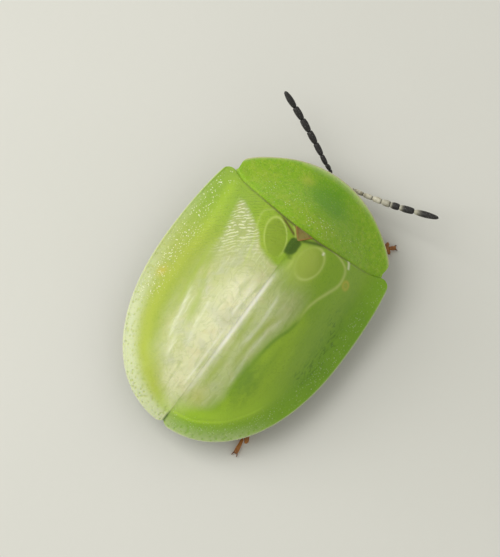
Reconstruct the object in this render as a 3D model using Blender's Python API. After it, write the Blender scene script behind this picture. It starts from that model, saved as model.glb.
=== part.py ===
"""A green tortoise beetle at life size, standing with its feelers spread.

The back is one low crown: two wing cases behind and the neck shield in front, all ending in a
wide brim. Plan positions are measured from the crown's centre, and heights of the back are one
function of them. +Y points to the head, +X to the beetle's right and +Z up, with the soles of
the feet at Z = 0. The whole beetle hangs on one empty, which puts its middle over the origin.
"""

import math

import bmesh
import bpy
from mathutils import Matrix, Vector

MM = 0.001
GAP = 0.26 * MM

# Where the crown's centre lies, behind the middle of the beetle and its feelers
CROWN_Y = -0.19 * MM

# Plan of the back, measured from the crown's centre
CASE_HALF_WIDTH = 3.12 * MM
CASE_REAR = 5.03 * MM
CASE_FRONT = 6.0 * MM
CASE_EXPONENT = 2.22
SHIELD_HALF_SPAN = 3.7 * MM
SHIELD_FRONT = 4.18 * MM
SHIELD_EXPONENT = 2
SHIELD_HALF_ANGLE = math.radians(45)
BASE_Y = 1.68 * MM
BASE_BOW = 0.113 / MM
SHOULDER_X = 2.74 * MM
SHOULDER_Y = 2.32 * MM
SHOULDER_SHARE = 0.34

# Heights of the back
RIM_Z = 0.95 * MM
RIM_LIFT = 0.12
BRIM_RISE = 0.45 * MM
CROWN_RISE = 2.05 * MM
CROWN_EXPONENT = 2.2
CREASE_SOFTNESS = 0.02
BASE_DROP = 0.25 * MM
BRIM_AHEAD = 0.95 * MM
BRIM_BEHIND = 0.62 * MM
SHIELD_BRIM = 0.85 * MM
SHELL = 0.5 * MM
SHELL_AT_RIM = 0.22 * MM
THIN_FROM = 0.35
CREASE_SHARE = 0.66
SHIELD_CREASE_SHARE = 0.5
MERGE = 0.03 * MM

# Scutellum, the small plate between the wing cases and the neck shield
SCUTELLUM_HALF_WIDTH = 0.42 * MM
SCUTELLUM_LENGTH = 0.62 * MM
SCUTELLUM_DEPTH = 0.55 * MM
SCUTELLUM_BULGE = 0.04 * MM

# Underside
BELLY_Z = 1.3 * MM
BELLY_MIDDLE_Z = 1.75 * MM
ABDOMEN_Z = 0.7 * MM
ABDOMEN_SIDE_RISE = 0.4 * MM
ABDOMEN_SLOPE_Y = (-1.35 * MM, -2.3 * MM)
WAIST_Y = -0.75 * MM
NECK_Y = 1.95 * MM
ABDOMEN_END_Y = -4.3 * MM
ABDOMEN_HALF_WIDTH = 2.2 * MM
CHEST_HALF_WIDTH = 2.1 * MM
COLLAR_END_Y = 2.56 * MM
COLLAR_HALF_WIDTH = 1.25 * MM
KEEL_Z = 0.55 * MM
KEEL_HALF_WIDTH = 0.36 * MM
SEGMENT_GROOVE = 0.05 * MM
TRUNK_EDGE = 0.2 * MM
CEILING_RINGS = 4
CEILING_SPOKES = 12
ABDOMEN_SEGMENTS = 5

# Head
HEAD_MIDDLE = Vector((0, 3.22, 0.86)) * MM
HEAD_HALF_WIDTH = 0.5 * MM
HEAD_HALF_LENGTH = 0.44 * MM
HEAD_HALF_HEIGHT = 0.5 * MM
EYE_HALF_HEIGHT = 0.34 * MM
EYE_HALF_LENGTH = 0.27 * MM
EYE_BULGE = 0.24 * MM
EYE_FLAT = 0.42 * MM
MOUTH_HALF_WIDTH = 0.3 * MM

# Feelers: eleven joints each, thin near the head and a club further out
FEELER_JOINTS = 11
FEELER_WAIST = 0.68
FEELER_BASE_RADIUS = 0.25 * MM
FEELER_CLUB_RADIUS = 0.28 * MM
FEELER_TIP_RADIUS = 0.13 * MM
FEELER_ROOT = (0.42, 3.78, 0.72)
FEELER_BENDS = {
    "right": ((0.75, 4.27, 0.72), (1.50, 4.53, 0.95), (2.38, 4.83, 1.25), (3.02, 5.02, 1.50)),
    "left": ((0.72, 4.30, 0.72), (1.30, 4.60, 0.95), (2.10, 4.93, 1.22), (2.94, 5.28, 1.50)),
}

# Legs: where each pair's roots lie, and then each leg's hip, knee, ankle and toe, in millimetres
LEG_ROOTS = {
    "front": (0.62, 2.35, 0.86),
    "middle": (0.62, 0.80, 0.86),
    "hind": (0.62, -0.30, 0.86),
}
LEG_BENDS = {
    "front_right": ((1.05, 2.56, 0.80), (1.66, 3.02, 0.80), (2.05, 3.40, 0.36), (2.55, 3.88, 0.13)),
    "front_left": ((1.05, 2.50, 0.80), (1.72, 2.70, 0.80), (2.04, 3.05, 0.36), (1.74, 3.66, 0.13)),
    "middle_right": ((1.12, 0.86, 0.80), (2.08, 1.18, 0.82), (2.52, 0.72, 0.36), (2.72, -0.10, 0.13)),
    "middle_left": ((1.12, 0.84, 0.80), (2.05, 1.02, 0.82), (2.45, 0.52, 0.36), (2.62, -0.30, 0.13)),
    "hind_right": ((1.18, -0.56, 0.80), (2.02, -1.55, 0.82), (2.14, -2.72, 0.36), (2.36, -4.16, 0.13)),
    "hind_left": ((1.15, -0.58, 0.80), (1.92, -1.55, 0.82), (2.00, -2.66, 0.36), (1.92, -3.80, 0.13)),
}
LEG_PARTS = ("coxa", "femur", "tibia", "tarsus")
COXA_RADIUS = 0.28 * MM
FEMUR_RADIUS = 0.31 * MM
TIBIA_RADIUS = 0.25 * MM
ANKLE_RADIUS = 0.27 * MM
SOLE_HALF_WIDTH = 0.27 * MM
TARSUS_HEIGHT = 0.48 * MM
SOLE_HEIGHT = 0.36 * MM
CLAW_RADIUS = 0.07 * MM
CLAW_LENGTH = 0.2 * MM
CLAW_SPREAD = 0.12 * MM

GREEN = (0.22, 0.42, 0.05, 1.0)
PALE_GREEN = (0.33, 0.50, 0.10, 1.0)
BROWN = (0.20, 0.10, 0.04, 1.0)
DARK = (0.03, 0.03, 0.02, 1.0)
ORANGE = (0.42, 0.17, 0.05, 1.0)


def clear_scene():
    for thing in list(bpy.data.objects):
        bpy.data.objects.remove(thing, do_unlink=True)


def finish_material(name, colour, roughness):
    material = bpy.data.materials.new(name)
    material.use_nodes = True
    shader = material.node_tree.nodes["Principled BSDF"]
    shader.inputs["Base Color"].default_value = colour
    shader.inputs["Roughness"].default_value = roughness
    shader.inputs["Metallic"].default_value = 0.0
    return material


def add_object(name, bm, material, crease_degrees=50):
    """A smooth-shaded object from a bmesh whose points are in their final place."""
    mesh = bpy.data.meshes.new(name)
    bm.to_mesh(mesh)
    bm.free()
    mesh.shade_smooth()
    mesh.set_sharp_from_angle(angle=math.radians(crease_degrees))
    made = bpy.data.objects.new(name, mesh)
    made.data.materials.append(material)
    bpy.context.scene.collection.objects.link(made)
    return made


def mix(a, b, share):
    return a + (b - a) * share


def bend_radius(theta, half_width, length, exponent):
    """How far a superellipse reaches from its centre, in the direction theta from +Y."""
    across = (abs(math.sin(theta)) / half_width) ** exponent
    along = (abs(math.cos(theta)) / length) ** exponent
    return (across + along) ** (-1 / exponent)


def case_reach(theta):
    length = CASE_FRONT if math.cos(theta) > 0 else CASE_REAR
    return bend_radius(theta, CASE_HALF_WIDTH, length, CASE_EXPONENT)


def shield_reach(theta):
    return bend_radius(theta, SHIELD_HALF_SPAN, SHIELD_FRONT, SHIELD_EXPONENT)


def base_line(x):
    """Where the neck shield meets the wing cases."""
    return BASE_Y + BASE_BOW * x * x


def rim_height(y):
    return RIM_Z + RIM_LIFT * max(y, 0)


def crown_height(x, y, reach, brim):
    """The back's height: a dome that runs out into a brim along its crease."""
    radius = math.hypot(x, y)
    inner = (reach - brim)
    rise_share = min((reach - radius) / brim, 1)
    swell = 1 - (radius / inner) ** CROWN_EXPONENT
    dome = (swell + math.hypot(swell, math.sqrt(CREASE_SOFTNESS))) / 2
    return rim_height(y) + BRIM_RISE * rise_share + CROWN_RISE * dome


def case_brim(theta):
    return mix(BRIM_AHEAD, BRIM_BEHIND, theta / math.pi)


def case_height(x, y):
    theta = math.atan2(abs(x), y)
    reach = case_reach(theta)
    brim = case_brim(theta)
    flat_share = 1 - min(math.hypot(x, y) / reach, 1) ** 2
    drop = BASE_DROP * (max(y, 0) / BASE_Y) ** 2 * flat_share
    return crown_height(x, y, reach, brim) - drop


def shield_height(x, y):
    theta = math.atan2(abs(x), y)
    return crown_height(x, y, shield_reach(theta), SHIELD_BRIM)


def ceiling(x, y, height):
    """The highest that a piece under the back may reach there, a wall and a gap below its top."""
    room = SHELL + GAP
    lowest = height(x, y) - room
    for ring in range(1, CEILING_RINGS + 1):
        away = room * ring / CEILING_RINGS
        fall = math.sqrt(room**2 - away**2)
        for step in range(CEILING_SPOKES):
            turn = 2 * math.pi * step / CEILING_SPOKES
            there = height(x + away * math.cos(turn), y + away * math.sin(turn))
            lowest = min(lowest, there - fall)
    return lowest


def case_edge(share):
    """A wing case's edge: the base line out to the shoulder, then the rim round to the suture."""
    if share < SHOULDER_SHARE:
        x = SHOULDER_X * share / SHOULDER_SHARE
        return x, base_line(x) - GAP / 2
    fullness = (1 - (SHOULDER_Y / CASE_FRONT) ** CASE_EXPONENT) ** (1 / CASE_EXPONENT)
    shoulder = math.atan2(CASE_HALF_WIDTH * fullness, SHOULDER_Y)
    theta = mix(shoulder, math.pi, (share - SHOULDER_SHARE) / (1 - SHOULDER_SHARE))
    return case_reach(theta) * math.sin(theta), case_reach(theta) * math.cos(theta)


def sheet_from_grid(columns, rows, place):
    """A grid with each point moved to place(u, v), facing up; u and v run from 0 to 1."""
    bm = bmesh.new()
    bmesh.ops.create_grid(bm, x_segments=columns, y_segments=rows, size=0.5)
    for vert in bm.verts:
        vert.co = place(vert.co.x + 0.5, vert.co.y + 0.5)
    bmesh.ops.remove_doubles(bm, verts=bm.verts, dist=MERGE)
    bm.normal_update()
    if sum(face.normal.z for face in bm.faces) < 0:
        bmesh.ops.reverse_faces(bm, faces=bm.faces)
    return bm


def thicken(sheet, rim_share):
    """Gives a sheet its wall, thinner where rim_share(x, y) is near 1."""
    group = sheet.vertex_groups.new(name="wall")
    thin = SHELL_AT_RIM / SHELL
    for vert in sheet.data.vertices:
        near = max(0, rim_share(vert.co.x, vert.co.y) - THIN_FROM) / (1 - THIN_FROM)
        group.add([vert.index], mix(1, thin, near), "REPLACE")
    wall = sheet.modifiers.new("wall", "SOLIDIFY")
    wall.thickness = SHELL
    wall.offset = -1
    wall.use_even_offset = True
    wall.vertex_group = group.name


def brim_share(x, y, reach_of, brim):
    """0 on the crown, rising to 1 at the rim."""
    theta = math.atan2(abs(x), y)
    return min(max(1 - (reach_of(theta) - math.hypot(x, y)) / brim, 0), 1)


def make_wing_case(name, side, material, notch):
    def place(u, v):
        edge_x, edge_y = case_edge(u)
        theta = math.atan2(edge_x, edge_y)
        crease = case_reach(theta) - case_brim(theta)
        if v < CREASE_SHARE:
            radius = crease * v / CREASE_SHARE
        else:
            radius = mix(crease, case_reach(theta), (v - CREASE_SHARE) / (1 - CREASE_SHARE))
        radius = min(radius, math.hypot(edge_x, edge_y))
        x, y = radius * math.sin(theta), radius * math.cos(theta)
        return Vector((side * (x + GAP / 2), y, case_height(x, y)))

    case = add_object(name, sheet_from_grid(36, 15, place), material)
    thicken(case, lambda x, y: brim_share(x, y, case_reach, BRIM_BEHIND))
    cut = case.modifiers.new("scutellum_notch", "BOOLEAN")
    cut.operation = "DIFFERENCE"
    cut.object = notch
    return case


def make_shield(material):
    def place(u, v):
        theta = mix(-SHIELD_HALF_ANGLE, SHIELD_HALF_ANGLE, u)
        forward, bow = math.cos(theta), BASE_BOW * math.sin(theta) ** 2
        middle = BASE_Y + GAP / 2
        rear = 2 * middle / (forward + math.sqrt(forward**2 - 4 * bow * middle))
        crease = max(rear, shield_reach(theta) - SHIELD_BRIM)
        if v < SHIELD_CREASE_SHARE:
            radius = mix(rear, crease, v / SHIELD_CREASE_SHARE)
        else:
            radius = mix(crease, shield_reach(theta), (v - SHIELD_CREASE_SHARE) / (1 - SHIELD_CREASE_SHARE))
        x, y = radius * math.sin(theta), radius * math.cos(theta)
        return Vector((x, y, shield_height(x, y)))

    shield = add_object("pronotum", sheet_from_grid(30, 10, place), material)
    thicken(shield, lambda x, y: brim_share(x, y, shield_reach, SHIELD_BRIM))
    return shield


def wedge(name, half_width, length, base, material):
    """A triangular plate that points to the rear and follows the back's height."""
    bm = bmesh.new()
    corners = ((-half_width, base), (half_width, base), (0, base - length))
    top = [bm.verts.new((x, y, case_height(x, y) + SCUTELLUM_BULGE)) for x, y in corners]
    lid = bm.faces.new(top)
    pushed = bmesh.ops.extrude_face_region(bm, geom=[lid])
    moved = [item for item in pushed["geom"] if isinstance(item, bmesh.types.BMVert)]
    bmesh.ops.translate(bm, verts=moved, vec=(0, 0, -SCUTELLUM_DEPTH))
    bmesh.ops.recalc_face_normals(bm, faces=bm.faces)
    return add_object(name, bm, material)


def make_scutellum(material):
    plate = wedge("scutellum", SCUTELLUM_HALF_WIDTH, SCUTELLUM_LENGTH, BASE_Y - GAP / 2, material)
    edge = plate.modifiers.new("soft_edge", "BEVEL")
    edge.width = 0.05 * MM
    edge.segments = 2
    return plate


def make_notch(material):
    """The cutter that leaves the scutellum its room in both wing cases."""
    room = SCUTELLUM_HALF_WIDTH + 1.5 * GAP
    grown = SCUTELLUM_LENGTH * room / SCUTELLUM_HALF_WIDTH
    cutter = wedge("scutellum_room", room, grown, BASE_Y + 0.2 * MM, material)
    for vert in cutter.data.vertices:
        vert.co.z += SCUTELLUM_DEPTH if vert.co.z > case_height(0, BASE_Y) - SHELL / 2 else -SCUTELLUM_DEPTH
    cutter.hide_render = True
    cutter.display_type = "WIRE"
    return cutter


def lump_from_sphere(around, upward, place):
    """A closed lump: each point of a unit sphere goes to place(point)."""
    bm = bmesh.new()
    bmesh.ops.create_uvsphere(bm, u_segments=around, v_segments=upward, radius=1)
    for vert in bm.verts:
        vert.co = place(vert.co)
    bmesh.ops.recalc_face_normals(bm, faces=bm.faces)
    return bm


def squared(value, power):
    return math.copysign(abs(value) ** power, value)


def belly_height(x, y):
    """The trunk's underside: high over the legs, and lower and rounded behind them."""
    first, last = ABDOMEN_SLOPE_Y
    share = min(max((y - first) / (last - first), 0), 1)
    rounded = ABDOMEN_Z + ABDOMEN_SIDE_RISE * (x / ABDOMEN_HALF_WIDTH) ** 2
    return mix(BELLY_Z, rounded, share * share * (3 - 2 * share))


def add_keel(trunk, rear, front, material):
    """The breastbone between the legs, fused to the trunk's underside."""

    def place(point):
        y = (rear + front) / 2 + (front - rear) / 2 * squared(point.y, 0.4)
        z = mix(KEEL_Z, BELLY_Z + 0.2 * MM, 0.5 + 0.5 * squared(point.z, 0.4))
        return Vector((KEEL_HALF_WIDTH * squared(point.x, 0.4), y, z))

    keels = bpy.data.collections.new("keels")
    keel = add_object("keel", lump_from_sphere(16, 8, place), material)
    bpy.context.scene.collection.objects.unlink(keel)
    keels.objects.link(keel)
    join_pieces(trunk, keels)


def trunk_piece(name, rear, front, half_width, height, material, grooves=0):
    """A piece of the trunk between two cross cuts, filling the room under the back."""
    middle, half_length = (rear + front) / 2, (front - rear) / 2

    def place(point):
        x = half_width * squared(point.x, 0.75)
        y = middle + half_length * squared(point.y, 0.55 if point.y > 0 else 0.75)
        top = ceiling(x, y, height)
        while top < belly_height(x, y) + TRUNK_EDGE:
            x *= 0.97
            y = mix(middle, y, 0.97)
            top = ceiling(x, y, height)
        waist = min(BELLY_MIDDLE_Z, mix(belly_height(x, y), top, 0.5))
        if point.z > 0:
            return Vector((x, y, mix(waist, top, squared(point.z, 0.6))))
        z = mix(waist, belly_height(x, y), squared(-point.z, 0.6))
        if grooves:
            along = (y - rear) / (front - rear) * grooves
            z += SEGMENT_GROOVE * (0.5 + 0.5 * math.cos(2 * math.pi * along)) * -point.z
        return Vector((x, y, z))

    return add_object(name, lump_from_sphere(20, 14, place), material)


def make_head(material):
    def skull(point):
        x = max(-EYE_FLAT, min(EYE_FLAT, HEAD_HALF_WIDTH * squared(point.x, 0.8)))
        y = HEAD_MIDDLE.y + HEAD_HALF_LENGTH * point.y
        z = HEAD_MIDDLE.z + HEAD_HALF_HEIGHT * squared(point.z, 0.85)
        return Vector((x, y, min(z, ceiling(x, y, shield_height))))

    head = add_object("head", lump_from_sphere(18, 12, skull), material)

    def mouth(side):
        def jaw(point):
            x = side * MOUTH_HALF_WIDTH / 2 + MOUTH_HALF_WIDTH * 0.56 * point.x
            y = HEAD_MIDDLE.y - 0.12 * MM + 0.24 * MM * point.y
            z = HEAD_MIDDLE.z - HEAD_HALF_HEIGHT * 0.86 + 0.24 * MM * point.z
            return Vector((x, y, z))

        return jaw

    jaws = bpy.data.collections.new("jaws")
    for side, name in ((-1, "jaw_left"), (1, "jaw_right")):
        piece = add_object(name, lump_from_sphere(10, 6, mouth(side)), material)
        bpy.context.scene.collection.objects.unlink(piece)
        jaws.objects.link(piece)

    def brow(point):
        x = 0.26 * MM * squared(point.x, 0.8)
        y = HEAD_MIDDLE.y + HEAD_HALF_LENGTH * 0.72 + 0.16 * MM * point.y
        z = HEAD_MIDDLE.z - 0.14 * MM + 0.3 * MM * point.z
        return Vector((x * (1.15 - 0.35 * point.z), y, z))

    piece = add_object("clypeus", lump_from_sphere(10, 6, brow), material)
    bpy.context.scene.collection.objects.unlink(piece)
    jaws.objects.link(piece)
    join_pieces(head, jaws)
    return head


def join_pieces(base, pieces):
    """Fuses the pieces of a collection into base by one Boolean union, applied, and removes them."""
    bpy.context.scene.collection.children.link(pieces)
    union = base.modifiers.new("join", "BOOLEAN")
    union.operation = "UNION"
    union.operand_type = "COLLECTION"
    union.collection = pieces
    bpy.context.view_layer.update()
    graph = bpy.context.evaluated_depsgraph_get()
    joined = bpy.data.meshes.new_from_object(base.evaluated_get(graph), depsgraph=graph)
    base.modifiers.clear()
    base.data = joined
    joined.name = base.name
    for piece in list(pieces.objects):
        bpy.data.objects.remove(piece, do_unlink=True)
    bpy.data.collections.remove(pieces)


def make_eye(name, side, material):
    inner = side * (EYE_FLAT + GAP * 0.8)

    def place(point):
        out = max(0, side * point.x)
        x = inner + side * EYE_BULGE * squared(out, 0.8)
        y = HEAD_MIDDLE.y + EYE_HALF_LENGTH * point.y
        z = HEAD_MIDDLE.z + 0.02 * MM + EYE_HALF_HEIGHT * point.z
        return Vector((x, y, z))

    return add_object(name, lump_from_sphere(14, 10, place), material)


def spline_point(points, t):
    """A point on the smooth curve through the given points; t counts them from 0."""
    last = len(points) - 1
    i = min(int(t), last - 1)
    f = t - i
    before = points[i - 1] if i else points[0] * 2 - points[1]
    after = points[i + 2] if i + 2 <= last else points[last] * 2 - points[last - 1]
    a, b = points[i], points[i + 1]
    return 0.5 * (
        2 * a
        + (b - before) * f
        + (2 * before - 5 * a + 4 * b - after) * f**2
        + (3 * a - before - 3 * b + after) * f**3
    )


def limb_mesh(points, start, end, half_sizes, sides, rings, floor=None):
    """A closed tube along the curve from start to end; half_sizes(share) gives width and height."""
    bm = bmesh.new()
    loops = []
    for k in range(rings + 1):
        share = k / rings
        t = mix(start, end, share)
        centre = spline_point(points, t)
        ahead = spline_point(points, min(t + 0.02, len(points) - 1))
        behind = spline_point(points, max(t - 0.02, 0))
        tangent = (ahead - behind).normalized()
        across = tangent.cross(Vector((0, 0, 1))).normalized()
        upward = across.cross(tangent)
        wide, high = half_sizes(share)
        turn = Matrix((across, upward, tangent)).transposed().to_4x4()
        placing = Matrix.Translation(centre) @ turn @ Matrix.Diagonal((wide, high, 1, 1))
        capped = k in (0, rings)
        circle = bmesh.ops.create_circle(bm, cap_ends=capped, segments=sides, radius=1, matrix=placing)
        loops.append(circle["verts"])
    for first, second in zip(loops, loops[1:]):
        edges = [edge for edge in bm.edges if all(v in first for v in edge.verts)]
        edges += [edge for edge in bm.edges if all(v in second for v in edge.verts)]
        bmesh.ops.bridge_loops(bm, edges=edges)
    if floor is not None:
        for vert in bm.verts:
            vert.co.z = max(vert.co.z, floor)
    bmesh.ops.recalc_face_normals(bm, faces=bm.faces)
    return bm


def side_points(side_name, root, bends):
    """A limb's joints in metres, given for the right side in millimetres."""
    side = -1 if side_name == "left" else 1
    return [Vector((side * x, y, z)) * MM for x, y, z in (root, *bends)]


def make_feeler(side_name, bends, material):
    points = side_points(side_name, FEELER_ROOT, bends)
    rings_per_joint = 4

    def half_sizes(share):
        joint = share * FEELER_JOINTS
        body = mix(FEELER_BASE_RADIUS, FEELER_CLUB_RADIUS, share)
        if share > 0.9:
            body = mix(FEELER_CLUB_RADIUS, FEELER_TIP_RADIUS, (share - 0.9) / 0.1)
        bead = mix(FEELER_WAIST, 1, math.sin(math.pi * (joint % 1)) ** 0.7)
        return body * bead, body * bead

    rings = FEELER_JOINTS * rings_per_joint
    bm = limb_mesh(points, 0, len(points) - 1, half_sizes, 8, rings)
    return add_object(f"antenna_{side_name}", bm, material, crease_degrees=60)


def bow_sizes(begin, middle, end):
    """Half width and height along a limb that swells to middle."""

    def half_sizes(share):
        radius = mix(begin, end, share) + (middle - mix(begin, end, 0.5)) * math.sin(math.pi * share)
        return radius, radius

    return half_sizes


def tarsus_sizes(share):
    """Three joints, each wider than the last, and the narrower claw joint."""
    joint = share * 4
    widest = (0.8, 0.95, 1.12, 0.8)[min(int(joint), 3)]
    width = SOLE_HALF_WIDTH * widest * mix(0.74, 1, math.sin(math.pi * (0.15 + 0.7 * (joint % 1))))
    height = mix(TARSUS_HEIGHT, SOLE_HEIGHT, share) / 2
    return width, height


def make_claws(points, material):
    claws = bpy.data.collections.new("claws")
    toe = spline_point(points, len(points) - 1)
    heading = (toe - spline_point(points, len(points) - 1.1)).normalized()
    across = heading.cross(Vector((0, 0, 1))).normalized()
    root = toe - heading * CLAW_LENGTH * 0.6
    root.z = CLAW_RADIUS * 1.8
    for side in (-1, 1):
        spread = across * side * CLAW_SPREAD
        tip = toe + heading * CLAW_LENGTH * 0.55 + spread
        tip.z = CLAW_RADIUS * 0.9
        bend = toe + spread * 0.9
        bend.z = CLAW_RADIUS * 2.1
        route = [root + spread * 0.45, bend, tip]
        sizes = lambda share: (mix(CLAW_RADIUS, CLAW_RADIUS * 0.45, share),) * 2
        piece = add_object("claw", limb_mesh(route, 0, 2, sizes, 6, 4, floor=0), material)
        bpy.context.scene.collection.objects.unlink(piece)
        claws.objects.link(piece)
    return claws


def make_leg(place_name, bends, material):
    pair, side_name = place_name.split("_")
    points = side_points(side_name, LEG_ROOTS[pair], bends)
    sizes = {
        "coxa": bow_sizes(COXA_RADIUS * 0.9, COXA_RADIUS, COXA_RADIUS * 0.85),
        "femur": bow_sizes(FEMUR_RADIUS * 0.8, FEMUR_RADIUS, FEMUR_RADIUS * 0.8),
        "tibia": bow_sizes(TIBIA_RADIUS * 0.95, TIBIA_RADIUS, ANKLE_RADIUS),
        "tarsus": tarsus_sizes,
    }
    for index, part in enumerate(LEG_PARTS):
        length = (points[index + 1] - points[index]).length
        trim = GAP / 2 / length
        start = index + (trim if index else 0)
        end = index + 1 - (trim if index < 3 else 0)
        rings = 12 if part == "tarsus" else 6
        floor = 0 if part == "tarsus" else None
        bm = limb_mesh(points, start, end, sizes[part], 10, rings, floor)
        piece = add_object(f"{part}_{place_name}", bm, material)
        if part == "tarsus":
            join_pieces(piece, make_claws(points, material))


def hang_on_empty(name, location):
    """Parents every piece to one empty at the crown's centre."""
    crown = bpy.data.objects.new(name, None)
    bpy.context.scene.collection.objects.link(crown)
    for piece in bpy.context.scene.objects:
        if piece.type == "MESH":
            piece.parent = crown
    crown.location = location


def main():
    clear_scene()
    green = finish_material("wing_case_green", GREEN, 0.35)
    pale = finish_material("shield_green", PALE_GREEN, 0.35)
    brown = finish_material("scutellum_brown", BROWN, 0.45)
    dark = finish_material("belly_dark", DARK, 0.5)
    orange = finish_material("leg_orange", ORANGE, 0.45)

    notch = make_notch(brown)
    make_wing_case("elytron_right", 1, green, notch)
    make_wing_case("elytron_left", -1, green, notch)
    make_shield(pale)
    make_scutellum(brown)
    half_gap = GAP / 2
    waist, neck, collar = WAIST_Y, NECK_Y, COLLAR_END_Y
    belly, end = ABDOMEN_HALF_WIDTH, ABDOMEN_END_Y
    trunk_piece("abdomen", end, waist - half_gap, belly, case_height, dark, ABDOMEN_SEGMENTS)
    thorax = trunk_piece("thorax", waist + half_gap, neck - half_gap, CHEST_HALF_WIDTH, case_height, dark)
    add_keel(thorax, waist + GAP, neck - GAP, dark)
    prothorax = trunk_piece("prothorax", neck + half_gap, collar, COLLAR_HALF_WIDTH, shield_height, dark)
    add_keel(prothorax, neck + GAP, collar - half_gap, dark)
    make_head(dark)
    make_eye("eye_right", 1, dark)
    make_eye("eye_left", -1, dark)
    for side_name, bends in FEELER_BENDS.items():
        make_feeler(side_name, bends, dark)
    for place_name, bends in LEG_BENDS.items():
        make_leg(place_name, bends, orange)
    hang_on_empty("crown_centre", (0, CROWN_Y, 0))


main()
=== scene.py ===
"""The looks of a green tortoise beetle at life size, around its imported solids.

Lengths are in millimetres and plan positions are measured from the crown's centre, which lies
CROWN_Y from the origin; settle() turns them into the frame's metres. +Y points to the head and
+X to the beetle's right. Patterns are masks that paint() stores on a piece's points.
"""

from math import acos, atan2, copysign, cos, exp, hypot, pi, radians, sin, sqrt
import bmesh
import bpy
from mathutils import Matrix, Vector, kdtree, noise


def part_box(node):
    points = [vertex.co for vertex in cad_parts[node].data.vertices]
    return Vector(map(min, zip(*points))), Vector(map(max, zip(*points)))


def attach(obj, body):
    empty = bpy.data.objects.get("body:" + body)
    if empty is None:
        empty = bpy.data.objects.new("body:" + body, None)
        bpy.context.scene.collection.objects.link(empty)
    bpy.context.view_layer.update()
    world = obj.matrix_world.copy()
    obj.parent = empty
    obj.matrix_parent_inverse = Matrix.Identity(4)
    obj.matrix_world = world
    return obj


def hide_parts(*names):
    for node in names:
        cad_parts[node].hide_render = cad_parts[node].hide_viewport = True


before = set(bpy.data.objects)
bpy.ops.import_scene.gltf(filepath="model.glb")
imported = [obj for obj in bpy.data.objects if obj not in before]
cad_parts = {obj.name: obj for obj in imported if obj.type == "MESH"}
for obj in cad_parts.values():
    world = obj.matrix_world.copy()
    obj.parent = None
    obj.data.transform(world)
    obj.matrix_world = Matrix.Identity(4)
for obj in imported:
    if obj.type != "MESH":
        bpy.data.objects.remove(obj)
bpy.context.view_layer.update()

MM = 0.001
SEED = 7

# The camera stands behind the beetle, high up, and is turned about its own axis
VIEW_ELEVATION = radians(75)
VIEW_ROLL = radians(36.6)
VIEW_LENS = 300
VIEW_SENSOR = 36
PICTURE_ROWS = 557
ROWS_PER_MM = 33.58
VIEW_HEIGHT = PICTURE_ROWS / ROWS_PER_MM
VIEW_TARGET = (-0.434, 0.072, 1.3)

# Plan of the back
CASE_REAR = 5.03
CASE_FRONT = 6.0
CASE_EXPONENT = 2.22
SEAM = 0.002
CASE_HALF_WIDTH = 3.25 - SEAM / 2
SHIELD_HALF_SPAN = 3.7
SHIELD_FRONT = 4.18
BASE_Y = 1.68
BASE_BOW = 0.113
BASE_SEAM = -0.006
SHOULDER = (3.0, 2.6)
CROWN_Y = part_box("elytron_right")[0].y / MM + CASE_REAR

# Heights of the back
RIM_Z = 0.95
RIM_LIFT = 0.12
BRIM_RISE = 0.45
CROWN_RISE = 2.05
CROWN_EXPONENT = 2.2
CREASE_SOFTNESS = 0.2
BRIM_SOFTNESS = 0.2
BASE_DROP = 0.25
BRIM_AHEAD = 0.95
BRIM_BEHIND = 0.62
SHIELD_BRIM = 0.85
CUTICLE = 0.09

# Colours, as linear red, green and blue
DISC_GREEN = (0.265, 0.455, 0.024)
# Painted light: the disc's tone on its sunlit side
DISC_PAINTED_SUNLIT = (0.36, 0.445, 0.055)
MARGIN_GREEN = (0.222, 0.42, 0.022)
# Painted light: the margin's tone on its sunlit side
MARGIN_PAINTED_SUNLIT = (0.43, 0.505, 0.12)
# Whitish: a painted sheen on the wing cases' left margin, and the neck shield's pale border
SHEEN_AND_EDGE_PALE = (0.60, 0.66, 0.40)
LINE_YELLOW = (0.43, 0.52, 0.055)
LINE_GREEN = (0.43, 0.66, 0.045)
LIGHT_GREEN = (0.41, 0.62, 0.034)
STREAK_GREEN = (0.36, 0.47, 0.07)
DEEP_GREEN = (0.135, 0.29, 0.018)
DARK_GREEN = (0.07, 0.18, 0.008)
# The pale zone's tones at front and rear: folded wings showing through, with a painted sheen over them
FOLD_AND_SHEEN_FRONT = (0.495, 0.545, 0.245)
FOLD_AND_SHEEN_REAR = (0.77, 0.775, 0.53)
FOLD_WARM = (0.66, 0.62, 0.36)
FOLD_GAP = (0.30, 0.38, 0.10)
FOLD_GREY = (0.52, 0.55, 0.40)
VEIN_YELLOW = (0.52, 0.64, 0.17)
LOBE_GREEN = (0.25, 0.37, 0.03)
LOOP_GREEN = (0.42, 0.54, 0.09)
# The seam's near-white line, partly a painted highlight, and the pale streaks
SEAM_PALE = (0.95, 0.97, 0.84)
RIM_PALE = (0.62, 0.67, 0.45)
# White for painted glints and highlights, and for pale threads and specks
GLINT_AND_SPECK_WHITE = (0.86, 0.90, 0.66)
# Painted shade in the hollow behind the scutellum, the shadow beside it and the rear notch
HOLLOW_SHADE_GREEN = (0.060, 0.128, 0.010)
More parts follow.
